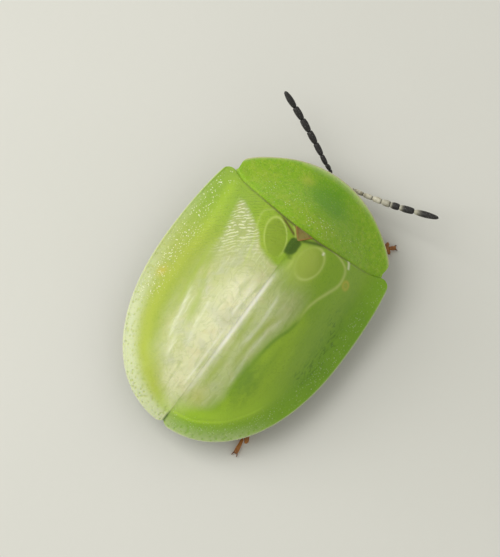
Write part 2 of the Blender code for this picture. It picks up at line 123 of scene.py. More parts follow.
# The seam's brown, with painted shade where the back's plates meet
BASE_BROWN_AND_SHADE = (0.13, 0.12, 0.02)
HUMERUS_BROWN = (0.56, 0.50, 0.06)
SPOT_ORANGE = (0.56, 0.50, 0.08)
SHIELD_GREEN = (0.26, 0.49, 0.010)
SHIELD_SUNNY = (0.37, 0.53, 0.045)
HEAD_SHADE = (0.14, 0.36, 0.004)
EDGE_PINK = (0.64, 0.54, 0.40)
PLATE_OLIVE = (0.27, 0.235, 0.06)
PLATE_BROWN = (0.17, 0.09, 0.03)
PLATE_ORANGE = (0.42, 0.21, 0.06)
INNER_GREEN = (0.30, 0.44, 0.06)
INNER_PALE = (0.50, 0.56, 0.24)
BELLY_BLACK = (0.020, 0.018, 0.014)
BELLY_BROWN = (0.07, 0.05, 0.025)
BELLY_GREEN = (0.16, 0.21, 0.05)
LEG_ORANGE = (0.42, 0.17, 0.045)
LEG_AMBER = (0.55, 0.30, 0.11)
LEG_BROWN = (0.20, 0.075, 0.022)
HEAD_DARK = (0.05, 0.055, 0.02)
HEAD_GREEN = (0.17, 0.19, 0.05)
EYE_BLACK = (0.012, 0.011, 0.010)
EYE_BROWN = (0.05, 0.035, 0.02)
FEELER_PALE_AND_HIGHLIGHT = (0.72, 0.70, 0.58)
FEELER_OCHRE = (0.34, 0.30, 0.20)
FEELER_GREY = (0.34, 0.34, 0.33)
FEELER_BLACK = (0.022, 0.021, 0.022)
CLAW_BROWN = (0.11, 0.035, 0.012)
CARD_GREY = (0.74, 0.75, 0.73)
CARD_PALE = (0.78, 0.785, 0.77)

SIDES = {"left": -1, "right": 1}


def mix(a, b, share):
    return a + (b - a) * share


def clamp(value, low=0.0, high=1.0):
    return max(low, min(high, value))


def ease(value, low, high):
    """0 below low, 1 above high and smooth between them; low may be the greater."""
    share = clamp((value - low) / (high - low))
    return share * share * (3 - 2 * share)


def hump(value, middle, width):
    return exp(-(((value - middle) / width) ** 2))


def wander(x, y, scale, seed=0):
    """Smooth noise between about -1 and 1, the same on every run."""
    return noise.noise(Vector((x * scale, y * scale, SEED + seed)))


def settle(point):
    """A point in the frame's metres from one in millimetres about the crown's centre."""
    return Vector((point[0], point[1] + CROWN_Y, point[2])) * MM


# The back's outline and height


def bend_radius(theta, half_width, length, exponent):
    across = (abs(sin(theta)) / half_width) ** exponent
    along = (abs(cos(theta)) / length) ** exponent
    return (across + along) ** (-1 / exponent)


def case_reach(theta):
    length = CASE_FRONT if cos(theta) > 0 else CASE_REAR
    return bend_radius(theta, CASE_HALF_WIDTH, length, CASE_EXPONENT)


def shield_reach(theta):
    shoulder = 0.05 * hump(abs(theta), radians(40), radians(8))
    return bend_radius(theta, SHIELD_HALF_SPAN, SHIELD_FRONT, 2) + shoulder


def base_line(x):
    return BASE_Y + BASE_BOW * x * x


def soft_floor(value, softness):
    """The value, or 0 where it is less, with a rounded bend."""
    return (value + hypot(value, softness)) / 2


def crown_height(x, y, reach, brim):
    """The back's height: a dome that runs out into a brim along its crease."""
    radius = hypot(x, y)
    inner = reach - brim
    rise_share = 1 - soft_floor(1 - (reach - radius) / brim, BRIM_SOFTNESS)
    dome = soft_floor(1 - (radius / inner) ** CROWN_EXPONENT, CREASE_SOFTNESS)
    return RIM_Z + RIM_LIFT * max(y, 0) + BRIM_RISE * rise_share + CROWN_RISE * dome


def case_brim(theta):
    return mix(BRIM_AHEAD, BRIM_BEHIND, theta / pi)


def case_height(x, y):
    theta = atan2(abs(x), y)
    reach = case_reach(theta)
    flat_share = 1 - min(hypot(x, y) / reach, 1) ** 2
    drop = BASE_DROP * (max(y, 0) / BASE_Y) ** 2 * flat_share
    return crown_height(x, y, reach, case_brim(theta)) - drop


def shield_height(x, y):
    return crown_height(x, y, shield_reach(atan2(abs(x), y)), SHIELD_BRIM)


def rim_distance(x, y):
    """How far a point of a wing case lies inside its outer rim."""
    return case_reach(atan2(abs(x), y)) - hypot(x, y)


def shield_rim_distance(x, y):
    return shield_reach(atan2(abs(x), y)) - hypot(x, y)


# Shapes from bmesh operators

WELD_DISTANCE = 0.002
CREASE_ANGLE = radians(60)
TANGENT_STEP = 0.02


def sheet_from_grid(columns, rows, place):
    """A grid with each point moved to place(u, v), facing up; u and v run from 0 to 1."""
    bm = bmesh.new()
    bmesh.ops.create_grid(bm, x_segments=columns, y_segments=rows, size=0.5)
    for vert in bm.verts:
        vert.co = settle(place(vert.co.x + 0.5, vert.co.y + 0.5))
    bmesh.ops.remove_doubles(bm, verts=bm.verts, dist=WELD_DISTANCE * MM)
    bm.normal_update()
    if sum(face.normal.z for face in bm.faces) < 0:
        bmesh.ops.reverse_faces(bm, faces=bm.faces)
    return bm


def add_lump(bm, around, upward, place):
    """Adds a closed lump: a unit sphere with its points moved to place(point). Gives its points."""
    made = bmesh.ops.create_uvsphere(bm, u_segments=around, v_segments=upward, radius=1)
    for vert in made["verts"]:
        vert.co = settle(place(vert.co.copy()))
    return made["verts"]


def spline_point(points, t):
    """A point on the smooth curve through the given points; t counts them from 0."""
    last = len(points) - 1
    i = min(int(t), last - 1)
    f = t - i
    before = points[i - 1] if i else points[0] * 2 - points[1]
    after = points[i + 2] if i + 2 <= last else points[last] * 2 - points[last - 1]
    a, b = points[i], points[i + 1]
    return 0.5 * (
        2 * a
        + (b - before) * f
        + (2 * before - 5 * a + 4 * b - after) * f**2
        + (3 * a - before - 3 * b + after) * f**3
    )


def add_limb(bm, points, start, end, sizes, around, rings, round_share=0.12):
    """A closed limb along the curve; sizes(share) gives half width and height. Gives its points."""

    def place(point):
        share = 1 - acos(clamp(point.z, -1, 1)) / pi
        turn = atan2(point.y, point.x)
        t = mix(start, end, share)
        centre = spline_point(points, t)
        ahead = spline_point(points, min(t + TANGENT_STEP, len(points) - 1))
        behind = spline_point(points, max(t - TANGENT_STEP, 0))
        tangent = (ahead - behind).normalized()
        across = level_across(tangent)
        upward = across.cross(tangent)
        from_end = clamp(min(share, 1 - share) / round_share)
        rounding = sqrt(1 - (1 - from_end) ** 2)
        wide, high = sizes(share)
        aside = across * (cos(turn) * wide * rounding)
        return centre + aside + upward * (sin(turn) * high * rounding)

    return add_lump(bm, around, rings, place)


def mirrored(points, side):
    return [Vector((side * x, y, z)) for x, y, z in points]


def level_across(heading):
    return heading.cross(Vector((0, 0, 1))).normalized()


def squared(value, power):
    """The value with a blunter or sharper rise from 0 to 1, the same on both sides of 0."""
    return copysign(abs(value) ** power, value)


def place_object(name, data):
    made = bpy.data.objects.new(name, data)
    bpy.context.scene.collection.objects.link(made)
    return made


def dress(piece, slot, *nodes):
    """Makes the piece ride on the body and stand for its solids; slot is not used."""
    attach(piece, "root")
    if nodes:
        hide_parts(*nodes)


def add_piece(name, bm, finish):
    bmesh.ops.recalc_face_normals(bm, faces=bm.faces)
    return add_sheet(name, bm, finish)


def add_sheet(name, bm, finish):
    """A piece from the shape as it is, with its open rim marked sharp."""
    mesh = bpy.data.meshes.new(name)
    bm.edges.index_update()
    rim = [edge.index for edge in bm.edges if edge.is_boundary]
    bm.to_mesh(mesh)
    bm.free()
    mesh.shade_smooth()
    mesh.set_sharp_from_angle(angle=CREASE_ANGLE)
    for index in rim:
        mesh.edges[index].use_edge_sharp = True
    mesh.materials.append(finish)
    return place_object(name, mesh)


def paint(piece, masks):
    """Stores each named mask, a function of plan position, on the piece's points."""
    for name, mask in masks.items():
        layer = piece.data.attributes.new(name, "FLOAT", "POINT")
        for vert, slot in zip(piece.data.vertices, layer.data):
            slot.value = mask(vert.co.x / MM, vert.co.y / MM - CROWN_Y)


def add_wall(piece, thickness, lining):
    piece.data.materials.append(lining)
    wall = piece.modifiers.new("wall", "SOLIDIFY")
    wall.material_offset = 1
    wall.thickness = thickness * MM
    wall.offset = -1


# Shader writing


class Wire:
    """A socket in a material; arithmetic on it adds Math nodes, and node() adds any other."""

    def __init__(self, tree, socket):
        self.tree = tree
        self.socket = socket

    def node(self, kind, settings, sockets, output=0):
        made = self.tree.nodes.new(kind)
        for name, setting in settings.items():
            setattr(made, name, setting)
        for key, given in sockets.items():
            if isinstance(given, Wire):
                self.tree.links.new(given.socket, made.inputs[key])
            else:
                made.inputs[key].default_value = given
        return Wire(self.tree, made.outputs[output])

    def maths(self, operation, first, second):
        return self.node("ShaderNodeMath", {"operation": operation}, {0: first, 1: second})

    def __add__(self, other):
        return self.maths("ADD", self, other)

    def __sub__(self, other):
        return self.maths("SUBTRACT", self, other)

    def __rsub__(self, other):
        return self.maths("SUBTRACT", other, self)

    def __mul__(self, other):
        return self.maths("MULTIPLY", self, other)

    __radd__ = __add__
    __rmul__ = __mul__


class Finish:
    """A material with its places in millimetres, and the patterns that the finishes share."""

    def __init__(self, name, constants):
        self.material = bpy.data.materials.new(name)
        self.material.use_nodes = True
        tree = self.material.node_tree
        self.shader = tree.nodes["Principled BSDF"]
        for key, value in constants.items():
            self.shader.inputs[key].default_value = value
        self.node = Wire(tree, None).node
        where = self.node("ShaderNodeTexCoord", {}, {}, "Object")
        sockets = {0: where, "Scale": 1 / MM}
        self.place = self.node("ShaderNodeVectorMath", {"operation": "SCALE"}, sockets)

    def mask(self, name):
        return self.node("ShaderNodeAttribute", {"attribute_name": name}, {}, "Fac")

    def ripples(self):
        """Fine wavy cross lines that run aslant over the back."""
        turned = {"Vector": self.place, "Rotation": (0, 0, RIPPLE_TURN), "Scale": RIPPLE_STRETCH}
        place = self.node("ShaderNodeMapping", {"vector_type": "TEXTURE"}, turned)
        sockets = {"Vector": place, "Scale": 2.9, "Distortion": 10.0}
        sockets |= {"Detail": 3.0, "Detail Scale": 0.8, "Detail Roughness": 0.6}
        return self.node("ShaderNodeTexWave", {"bands_direction": "Y"}, sockets, "Fac")

    def noise(self, scale, detail=2.0, distortion=0.0, stretch=None):
        place = self.place
        if stretch:
            place = self.node("ShaderNodeMapping", {}, {"Vector": place, "Scale": stretch})
        sockets = {"Vector": place, "Scale": scale, "Detail": detail, "Distortion": distortion}
        return self.node("ShaderNodeTexNoise", {}, sockets, "Fac")

    def pits(self, scale, feature="F1", output="Distance", randomness=1.0):
        sockets = {"Vector": self.place, "Scale": scale, "Randomness": randomness}
        return self.node("ShaderNodeTexVoronoi", {"feature": feature}, sockets, output)

    def between(self, value, low, high):
        """0 below low, 1 above high and smooth between them."""
        sockets = {"Value": value, "From Min": low, "From Max": high}
        return self.node("ShaderNodeMapRange", {"interpolation_type": "SMOOTHSTEP"}, sockets)

    def blend(self, tone, *layers):
        """The tone with each (colour, share) laid over it; a share is a wire or a mask's name."""
        for colour, share in layers:
            below, above = [c if isinstance(c, Wire) else (*c, 1) for c in (tone, colour)]
            share = self.mask(share) if isinstance(share, str) else share
            tone = self.node("ShaderNodeMix", {"data_type": "RGBA"}, {0: share, 6: below, 7: above}, 2)
        return tone

    def creases(self, value, width):
        """1 where a noise crosses its middle, 0 beyond width: fine branching lines."""
        away = self.node("ShaderNodeMath", {"operation": "ABSOLUTE"}, {0: value - 0.5})
        return 1 - self.between(away, 0.0, width)

    def sparkles(self, scale, size, share):
        """Small dots, one in each cell, in about the given share of the cells."""
        dots = 1 - self.between(self.pits(scale), size * 0.5, size)
        chance = self.pits(scale, output="Color")
        return dots * self.between(chance, 0.62 - share * 0.3, 0.68 - share * 0.3)

    def connect(self, key, given):
        self.shader.id_data.links.new(given.socket, self.shader.inputs[key])

    def done(self, tone, height, depth):
        """Connects the colour, and a bump whose height of 0 to 1 stands for depth millimetres."""
        sockets = {"Height": height, "Distance": depth * MM, "Strength": 1.0}
        self.connect("Base Color", tone)
        self.connect("Normal", self.node("ShaderNodeBump", {}, sockets))
        return self.material


RIPPLE_TURN = radians(36.6)
RIPPLE_STRETCH = (1.6, 1.0, 1.0)
CUTICLE_GLOSS = {
    "Roughness": 0.38,
    "IOR": 1.5,
    "Specular IOR Level": 0.2,
    "Coat Weight": 0.28,
    "Coat Roughness": 0.20,
    "Coat IOR": 1.5,
    "Subsurface Weight": 0.25,
    "Subsurface Radius": (0.8, 1.0, 0.25),
    "Subsurface Scale": 0.12 * MM,
}
DARK_CUTICLE = {"Roughness": 0.42, "IOR": 1.5, "Coat Weight": 0.3, "Coat Roughness": 0.25}
EYE_GLOSS = {"Roughness": 0.18, "Coat Weight": 1.0, "Coat Roughness": 0.05}
FEELER_SATIN = {"Roughness": 0.5, "Specular IOR Level": 0.3, "Coat Weight": 0.12}
CLAW_GLOSS = {"Roughness": 0.25, "Coat Weight": 0.6, "Coat Roughness": 0.1}


def wing_case_finish():
    f = Finish("wing_case_cuticle", CUTICLE_GLOSS)
    cloud = f.noise(1.3, 3.0)
    mottle = f.noise(5.0, 4.0, 0.4, (1.0, 0.5, 1.0))
    grain = f.noise(16.0, 3.0, 0.8)
    streaks = f.noise(2.6, 3.0, 0.3, (1.7, 0.28, 0.6))
    threads = f.noise(7.0, 2.0, 0.3, (1.6, 0.22, 0.6))
    brim, painted_sunlit_side, margin_sheen = f.mask("brim"), f.mask("painted_sunlit_side"), f.mask("margin_sheen")

    light = f.mask("light") * (0.33 + 0.56 * streaks)
    # Painted light: disc, margin and yellow line take yellower tones on the sunlit side
    disc = f.blend(DISC_GREEN, (DISC_PAINTED_SUNLIT, painted_sunlit_side), (LIGHT_GREEN, light))
    margin = f.blend(MARGIN_GREEN, (MARGIN_PAINTED_SUNLIT, painted_sunlit_side))
    line = f.blend(LINE_GREEN, (LINE_YELLOW, painted_sunlit_side))
    beads = f.between(f.pits(9.0, "SMOOTH_F1"), 0.10, 0.45)
    dashes = f.between(f.noise(9.0, 3.0, 0.4, (1.6, 0.6, 1.0)), 0.50, 0.62)
    ground = f.blend(
        disc,
        (margin, brim),
        # Painted sheen on the left margin, thickest at the rear
        (SHEEN_AND_EDGE_PALE, margin_sheen * (0.30 + 0.7 * beads + 0.3 * grain)),
        (DEEP_GREEN, f.between(grain, 0.48, 0.75) * (0.34 - 0.22 * margin_sheen)),
        (DEEP_GREEN, f.mask("shade") * f.between(mottle + cloud * 0.6, 0.30, 1.05)),
        (DARK_GREEN, f.mask("dashes") * dashes * 0.6),
        (LOBE_GREEN, f.mask("lobe") * (0.35 + 0.9 * mottle)),
        (LOOP_GREEN, "loop"),
        (line, f.mask("line") * (0.55 + 0.5 * cloud)),
    )

    broken = f.between(f.noise(5.0, 2.0, 0.3, (0.9, 1.1, 1.0)), 0.38, 0.56)
    ripple = f.between(f.ripples(), 0.42, 0.86) * broken
    net = f.creases(f.noise(2.6, 3.0, 0.9, (1.2, 0.7, 1.0)), 0.05)
    cells = f.between(f.noise(2.0, 2.0, 0.5), 0.50, 0.72)
    wrinkles_and_sheen = f.mask("wrinkles_and_sheen")
    # The pale zone: folded wings with a painted sheen over them, whitest at the rear
    wings_and_sheen = f.blend(
        FOLD_AND_SHEEN_FRONT,
        (FOLD_AND_SHEEN_REAR, "rear"),
        (FOLD_GAP, f.between(streaks, 0.50, 0.72) * 0.42),
        (FOLD_WARM, cells * 0.45),
        (FOLD_GREY, f.between(cloud, 0.54, 0.70) * 0.5),
        (FOLD_GAP, net * (1 - wrinkles_and_sheen) * 0.20),
        # Painted highlights along the ripples' crests, darker between them
        (FOLD_GAP, wrinkles_and_sheen * (1 - ripple) * 0.55),
        (GLINT_AND_SPECK_WHITE, wrinkles_and_sheen * ripple * 0.62),
        (GLINT_AND_SPECK_WHITE, f.between(threads, 0.54, 0.78) * 0.24),
    )

    # Painted glints: small bright points, most on the left margin
    specks_and_glints = f.mask("specks_and_glints")
    patches = specks_and_glints * f.between(f.noise(3.0, 2.0), 0.34, 0.52)
    dots = f.sparkles(15.0, 0.34, 0.9) * patches + f.sparkles(9.0, 0.22, 0.7) * specks_and_glints
    tone = f.blend(
        ground,
        # Painted sheen with the folded wings, laid over the ground by the pale mask
        (wings_and_sheen, f.mask("pale") * (0.80 + 0.3 * mottle)),
        (STREAK_GREEN, f.mask("green_streak") * (0.45 + 0.6 * streaks)),
        (SEAM_PALE, f.mask("pale_streak") * (0.75 * threads - 0.04)),
        # Painted shadow along the right folded wing's edge
        (DEEP_GREEN, f.mask("fold_edge_shadow") * 0.6),
        (VEIN_YELLOW, f.mask("vein") * (0.6 + 0.5 * cloud)),
        # The seam's bright line: translucent cuticle with a painted highlight
        (SEAM_PALE, "seam"),
        (SPOT_ORANGE, "spot"),
        (HUMERUS_BROWN, f.mask("humerus") * (0.5 + 0.6 * grain)),
        # Painted shade in the hollow, beside the scutellum and in the rear notch
        (HOLLOW_SHADE_GREEN, "hollow_shade"),
        # The seam's brown with painted shade where the cases meet the shield
        (BASE_BROWN_AND_SHADE, "base"),
        (RIM_PALE, "rim"),
        (GLINT_AND_SPECK_WHITE, "glint"),
        (GLINT_AND_SPECK_WHITE, dots),
    )
    dimples = f.between(f.pits(6.0, "SMOOTH_F1"), 0.05, 0.4)
    height = wrinkles_and_sheen * ripple * 0.8 + net * 0.12 + dimples * 0.14
    height = height + beads * brim * (0.25 + 0.9 * margin_sheen) + grain * 0.10
    f.connect("Roughness", 0.34 + 0.14 * mottle)
    return f.done(tone, height, 0.014)


def neck_shield_finish():
    f = Finish("neck_shield_cuticle", CUTICLE_GLOSS)
    cloud = f.noise(1.5, 3.0)
    mottle = f.noise(6.0, 4.0, 0.6)
    grain = f.noise(18.0, 3.0, 0.8)
    patches = f.mask("specks_and_glints") * f.between(f.noise(3.0, 2.0), 0.40, 0.56)
    dots = f.sparkles(14.0, 0.32, 0.7) * patches + f.sparkles(22.0, 0.36, 0.3) * 0.12
    tone = f.blend(
        SHIELD_GREEN,
        (MARGIN_GREEN, f.mask("brim") * 0.4),
        (SHIELD_SUNNY, f.between(mottle, 0.44, 0.66) * 0.55),
        (DEEP_GREEN, f.between(f.noise(7.5, 3.0, 0.8), 0.52, 0.70) * 0.35),
        (DEEP_GREEN, f.between(cloud, 0.48, 0.85) * 0.35),
        (DEEP_GREEN, f.between(grain, 0.46, 0.72) * 0.35),
        (LINE_YELLOW, f.mask("glow") * (0.5 + 0.6 * mottle)),
        (HEAD_SHADE, f.mask("shade") * (0.85 + 0.2 * mottle)),
        (SHEEN_AND_EDGE_PALE, f.mask("edge") * (0.6 + 0.5 * grain)),
        # The base line's brown with painted shade where the shield meets the cases
        (BASE_BROWN_AND_SHADE, f.mask("base") * (0.6 + 0.7 * mottle)),
        (EDGE_PINK, "rim"),
        (SHIELD_SUNNY, f.sparkles(11.0, 0.4, 0.5) * 0.35),
        (GLINT_AND_SPECK_WHITE, dots * 0.8),
    )
    pits = f.between(f.pits(12.0, "SMOOTH_F1"), 0.05, 0.42)
    f.connect("Roughness", 0.36 + 0.16 * f.noise(9.0, 2.0))
    return f.done(tone, pits * 0.7 + mottle * 0.3 + f.noise(30.0, 2.0) * 0.25, 0.012)


def inner_finish():
    """The smooth underside of the wing cases and the neck shield."""
    f = Finish("inner_cuticle", CUTICLE_GLOSS)
    clouds = f.between(f.noise(1.6, 3.0), 0.35, 0.7)
    pale = f.between(f.noise(5.0, 3.0, 0.5, (1.0, 0.4, 1.0)), 0.5, 0.8) * 0.4
    tone = f.blend(INNER_GREEN, (MARGIN_GREEN, clouds), (INNER_PALE, pale))
    return f.done(tone, f.between(f.pits(9.0, "SMOOTH_F1"), 0.05, 0.4), 0.006)


def scutellum_finish():
    f = Finish("scutellum_cuticle", CUTICLE_GLOSS)
    mottle = f.between(f.noise(7.0, 3.0), 0.45, 0.75) * 0.8
    tone = f.blend(PLATE_OLIVE, (PLATE_BROWN, mottle), (PLATE_BROWN, "dark"), (PLATE_ORANGE, "edge"))
    return f.done(tone, f.noise(16.0, 3.0), 0.008)


def belly_finish():
    f = Finish("belly_cuticle", DARK_CUTICLE)
    tone = f.blend(BELLY_BLACK, (BELLY_BROWN, f.noise(4.0, 4.0) * 0.7), (BELLY_GREEN, "edge"))
    return f.done(tone, f.between(f.pits(9.0), 0.05, 0.4) + f.noise(20.0, 2.0) * 0.4, 0.01)


def head_finish():
    f = Finish("head_cuticle", DARK_CUTICLE)
    tone = f.blend(HEAD_DARK, (HEAD_GREEN, f.between(f.noise(3.0, 3.0), 0.3, 0.7)))
    return f.done(tone, f.between(f.pits(14.0), 0.05, 0.4) + f.noise(30.0, 2.0) * 0.3, 0.006)


def mouth_finish():
    f = Finish("mouth_cuticle", DARK_CUTICLE)
    tone = f.blend(CLAW_BROWN, (LEG_ORANGE, f.between(f.noise(5.0, 3.0), 0.35, 0.7)))
    return f.done(tone, f.noise(24.0, 2.0), 0.004)


def eye_finish():
    f = Finish("eye_lens", EYE_GLOSS)
    facets = f.pits(26.0, randomness=0.25)
    tone = f.blend(EYE_BLACK, (EYE_BROWN, f.between(facets, 0.1, 0.5)))
    return f.done(tone, 1 - facets, 0.012)


def feeler_finish():
    f = Finish("feeler_cuticle", FEELER_SATIN)
    down = f.noise(34.0, 2.0)
    dark = f.blend(FEELER_BLACK, (FEELER_GREY, f.between(down, 0.56, 0.8) * 0.6))
    # The pale joints' whitish tone, partly painted highlights on the right feeler
    pale = f.blend(FEELER_PALE_AND_HIGHLIGHT, (FEELER_OCHRE, f.between(f.noise(8.0, 2.0), 0.45, 0.8)))
    return f.done(f.blend(pale, (dark, "club")), down, 0.012)


def leg_finish():
    f = Finish("leg_cuticle", CUTICLE_GLOSS)
    orange = f.between(f.noise(3.0, 3.0), 0.25, 0.6)
    amber = f.between(f.noise(11.0, 2.0), 0.55, 0.9) * 0.5
    tone = f.blend(LEG_BROWN, (LEG_ORANGE, orange), (LEG_AMBER, amber))
    return f.done(tone, f.noise(22.0, 3.0), 0.012)


def claw_finish():
    f = Finish("claw_horn", CLAW_GLOSS)
    return f.done(f.blend(CLAW_BROWN, (LEG_BROWN, f.noise(10.0, 2.0))), f.noise(30.0, 2.0), 0.003)


def floor_finish():
    f = Finish("floor_card", {"Roughness": 0.85})
    return f.done(f.blend(CARD_GREY, (CARD_PALE, f.noise(0.12, 3.0))), f.noise(3.0, 3.0), 0.004)


# The back


def corner(first, middle, last, share):
    """A point on the rounded corner from first to last."""
    a = [mix(p, q, share) for p, q in zip(first, middle)]
    b = [mix(p, q, share) for p, q in zip(middle, last)]
    return mix(a[0], b[0], share), mix(a[1], b[1], share)


BASE_SHARE = 0.27
CORNER_SHARE = 0.35
CORNER_X = 2.64
CORNER_THETA = radians(54)
TIP_SLIP = 0.10
TIP_SPAN = 0.22


def case_rim(theta):
    """The outer rim, drawn in a little where the two cases meet at the rear."""
    reach = case_reach(theta)
    if cos(theta) < 0:
        reach -= TIP_SLIP * (1 - clamp(reach * sin(theta) / TIP_SPAN)) ** 2
    return reach * sin(theta), reach * cos(theta)


def case_edge(share):
    """A wing case's edge: the base line, the rounded shoulder, then the rim to the suture."""
    front = BASE_SEAM / 2
    begin = (CORNER_X, base_line(CORNER_X) - front)
    end = case_rim(CORNER_THETA)
    if share < BASE_SHARE:
        x = CORNER_X * share / BASE_SHARE
        return x, base_line(x) - front
    if share < CORNER_SHARE:
        step = (share - BASE_SHARE) / (CORNER_SHARE - BASE_SHARE)
        return corner(begin, SHOULDER, end, step)
    step = (share - CORNER_SHARE) / (1 - CORNER_SHARE)
    return case_rim(mix(CORNER_THETA, pi, step))


def along(stops, at):
    """The value at a place on a line through the stops (place, value), held at its ends."""
    for (a, near), (b, far) in zip(stops, stops[1:]):
        if at <= b:
            return mix(near, far, clamp((at - a) / (b - a)))
    return stops[-1][1]


# Where the pale zone ends, folded wings with a painted sheen over them on the left: to the left by y,
# to the front by x, and to the right by y
PALE_LEFT = (
    (-4.7, -0.2), (-4.1, -1.0), (-3.4, -1.58), (-2.5, -1.95), (-0.9, -2.06), (-0.2, -1.98),
    (0.35, -1.90), (1.7, -2.12),
)
PALE_FRONT = (
    (-2.4, 1.82), (-1.9, 1.67), (-1.6, 1.44), (-1.1, 1.0), (-0.74, 0.52), (-0.37, 0.38), (0, 0.36),
)
PALE_RIGHT = (
    (-4.4, 0.50), (-4.0, 0.95), (-3.5, 1.10), (-3.1, 1.03), (-2.5, 1.04), (-2.1, 1.12),
    (-1.7, 1.20), (-1.3, 1.29), (-0.9, 1.36), (-0.4, 1.46), (0.3, 1.45),
)
CURVE_STEPS = 40


def curve_mask(width, *points):
    """1 on a smooth curve through plan points, falling off over width."""
    points = [Vector((*p, 0)) for p in points]
    last = len(points) - 1
    steps = CURVE_STEPS * last
    tree = kdtree.KDTree(steps + 1)
    for k in range(steps + 1):
        tree.insert(spline_point(points, k * last / steps), k)
    tree.balance()
    return lambda x, y: hump(tree.find((x, y, 0))[2], 0, width)


def oval(x, y, middle, half_sizes, turn=0):
    """How far out a plan point lies from an oval's middle: 1 on its outline, less inside it."""
    dx, dy = x - middle[0], y - middle[1]
    c, s = cos(turn), sin(turn)
    return hypot((dx * c + dy * s) / half_sizes[0], (dy * c - dx * s) / half_sizes[1])


# Each lobe's middle, half sizes and turn
LEFT_LOBE = ((-0.56, 1.00), (0.33, 0.66), radians(30))
RIGHT_LOBE = ((0.71, 0.99), (0.37, 0.58), radians(-6))
outer_vein = curve_mask(
    0.042,
    (0.99, 1.84), (1.49, 1.79), (1.72, 1.64), (1.80, 1.22), (1.66, 0.74), (1.52, 0.33), (1.44, -0.11),
    (1.46, -0.7),
)
outer_vein_left = curve_mask(
    0.03, (-1.05, 1.80), (-1.30, 1.55), (-1.22, 1.1), (-1.0, 0.5), (-0.8, -0.3)
)
# The line of the painted shadow at the right folded wing's edge
fold_edge_shadow = curve_mask(
    0.05,
    (1.50, 0.0), (1.46, -0.55), (1.39, -0.93), (1.27, -1.29), (1.18, -1.67), (1.13, -2.09),
    (1.07, -2.5),
)
yellow_left = curve_mask(
    0.17,
    (-2.60, 2.25), (-2.51, 1.82), (-2.40, 0.90), (-2.35, 0.05), (-2.41, -0.63), (-2.35, -1.74),
    (-2.18, -2.63), (-1.89, -3.29), (-1.56, -3.79), (-1.11, -4.20), (-0.52, -4.49), (0.0, -4.6),
)
yellow_right = curve_mask(
    0.22,
    (-0.1, -4.38), (0.25, -4.42), (0.67, -4.32), (1.24, -4.02), (1.63, -3.62), (1.93, -3.15),
    (2.12, -2.6), (2.25, -1.9), (2.3, -1.0),
)
yellow_right_edge = curve_mask(
    0.06, (0.0, -4.60), (0.44, -4.55), (0.90, -4.38), (1.50, -3.93), (1.98, -3.25), (2.3, -2.5)
)
light_bands = (
    curve_mask(
        0.26,
        (1.56, -0.5), (1.60, -0.95), (1.74, -1.45), (1.80, -2.0), (1.75, -2.5), (1.60, -3.1),
        (1.28, -3.6),
    ),
    curve_mask(0.18, (1.56, -0.9), (1.40, -1.5), (1.32, -2.05), (1.36, -2.45)),
)
dashed = curve_mask(0.24, (2.35, 0.5), (2.58, 0.0), (2.66, -0.5), (2.60, -1.05), (2.45, -1.5))
# The band on the left margin where the painted glints lie
glinting_band = curve_mask(
    0.34, (-2.9, 2.1), (-2.93, 1.51), (-2.86, 0.73), (-2.80, -0.06), (-2.76, -1.07), (-2.70, -2.04)
)
glints = (
    curve_mask(0.028, (1.60, 2.0), (1.68, 1.90), (1.74, 1.80)),
    curve_mask(0.028, (0.87, 1.54), (0.88, 1.48)),
)


def lobe_of(x, y):
    """How far out a point lies in the rounded lobe of its side, and the lobe's mean half size."""
    centre, sizes, turn = LEFT_LOBE if x < 0 else RIGHT_LOBE
    return oval(x, y, centre, sizes, turn), (sizes[0] + sizes[1]) / 2


def lobe_mask(x, y):
    """The darker ground inside a lobe."""
    ring, _ = lobe_of(x, y)
    return (1 - ease(ring, 0.85, 1.02)) * (1 if x < 0 else 0.65)


def loop_mask(x, y):
    """The lighter ground inside and about the right lobe."""
    ring = oval(x, y, (0.56, 0.86), (0.62, 0.85))
    return 0.8 * ease(ring, 1.25, 0.35) * ease(x, 0.02, 0.25)


def vein_mask(x, y):
    """The yellow veins: the lobes' outlines, two short ones beside the hollow, and the outer ones."""
    ring, size = lobe_of(x, y)
    outline = hump((ring - 1) * size, 0, 0.034 if x < 0 else 0.042) * (1 + 0.4 * wander(x, y, 2, 5))
    outline *= 0.75 * ease(y, 0.4, 0.85) if x < 0 else mix(0.25, 0.9, ease(x, 0.45, 0.8))
    between = 0.7 * hump(x, 0.27, 0.045) * hump(y, 0.55, 0.2)
    beside_plate = 0.85 * hump(y, 1.27 - 1.2 * x, 0.045) * ease(-x, -0.05, 0.05) * ease(-x, 0.45, 0.35)
    far = outer_vein(x, y) if x > 0 else outer_vein_left(x, y) * 0.5
    fade = ease(y, -0.7, 0.2)
    return clamp(max(outline, far * fade, between, beside_plate))


def wings_and_sheen_mask(x, y):
    """Where the folded wings show whitish through a wing case; on the left the pale zone is also a
    painted sheen, which carries it out toward the margin.
    """
    blur = 0.10 * wander(x, y * 0.5, 1.5) + 0.04 * wander(x, y, 5)
    if x < 0:
        narrow = ease(y, -0.7, 0.5)
        inside = x + blur * mix(1, 0.4, narrow) - along(PALE_LEFT, y)
        side = ease(inside, mix(-0.20, -0.08, narrow), mix(0.55, 0.16, narrow))
        front = ease(along(PALE_FRONT, x) - y + blur * 0.4, -0.02, 0.20)
        return side * front * mix(1, 0.7, ease(y, -3.9, -4.4))
    front = ease(y - 0.2 * x + blur - 0.25 * hump(x, 0.2, 0.22), 0.55, -0.6)
    side = ease(x + blur * 0.6 - along(PALE_RIGHT, y), 0.10, -0.32)
    near = mix(0.72, 0.92, hump(x, 0, 0.28))
    haze = 0.05 * hump(x, 1.25, 0.4) * hump(y, -2.4, 1.3)
    return max(haze, near * front * side * ease(y - 0.25 * x, -4.85, -3.9))


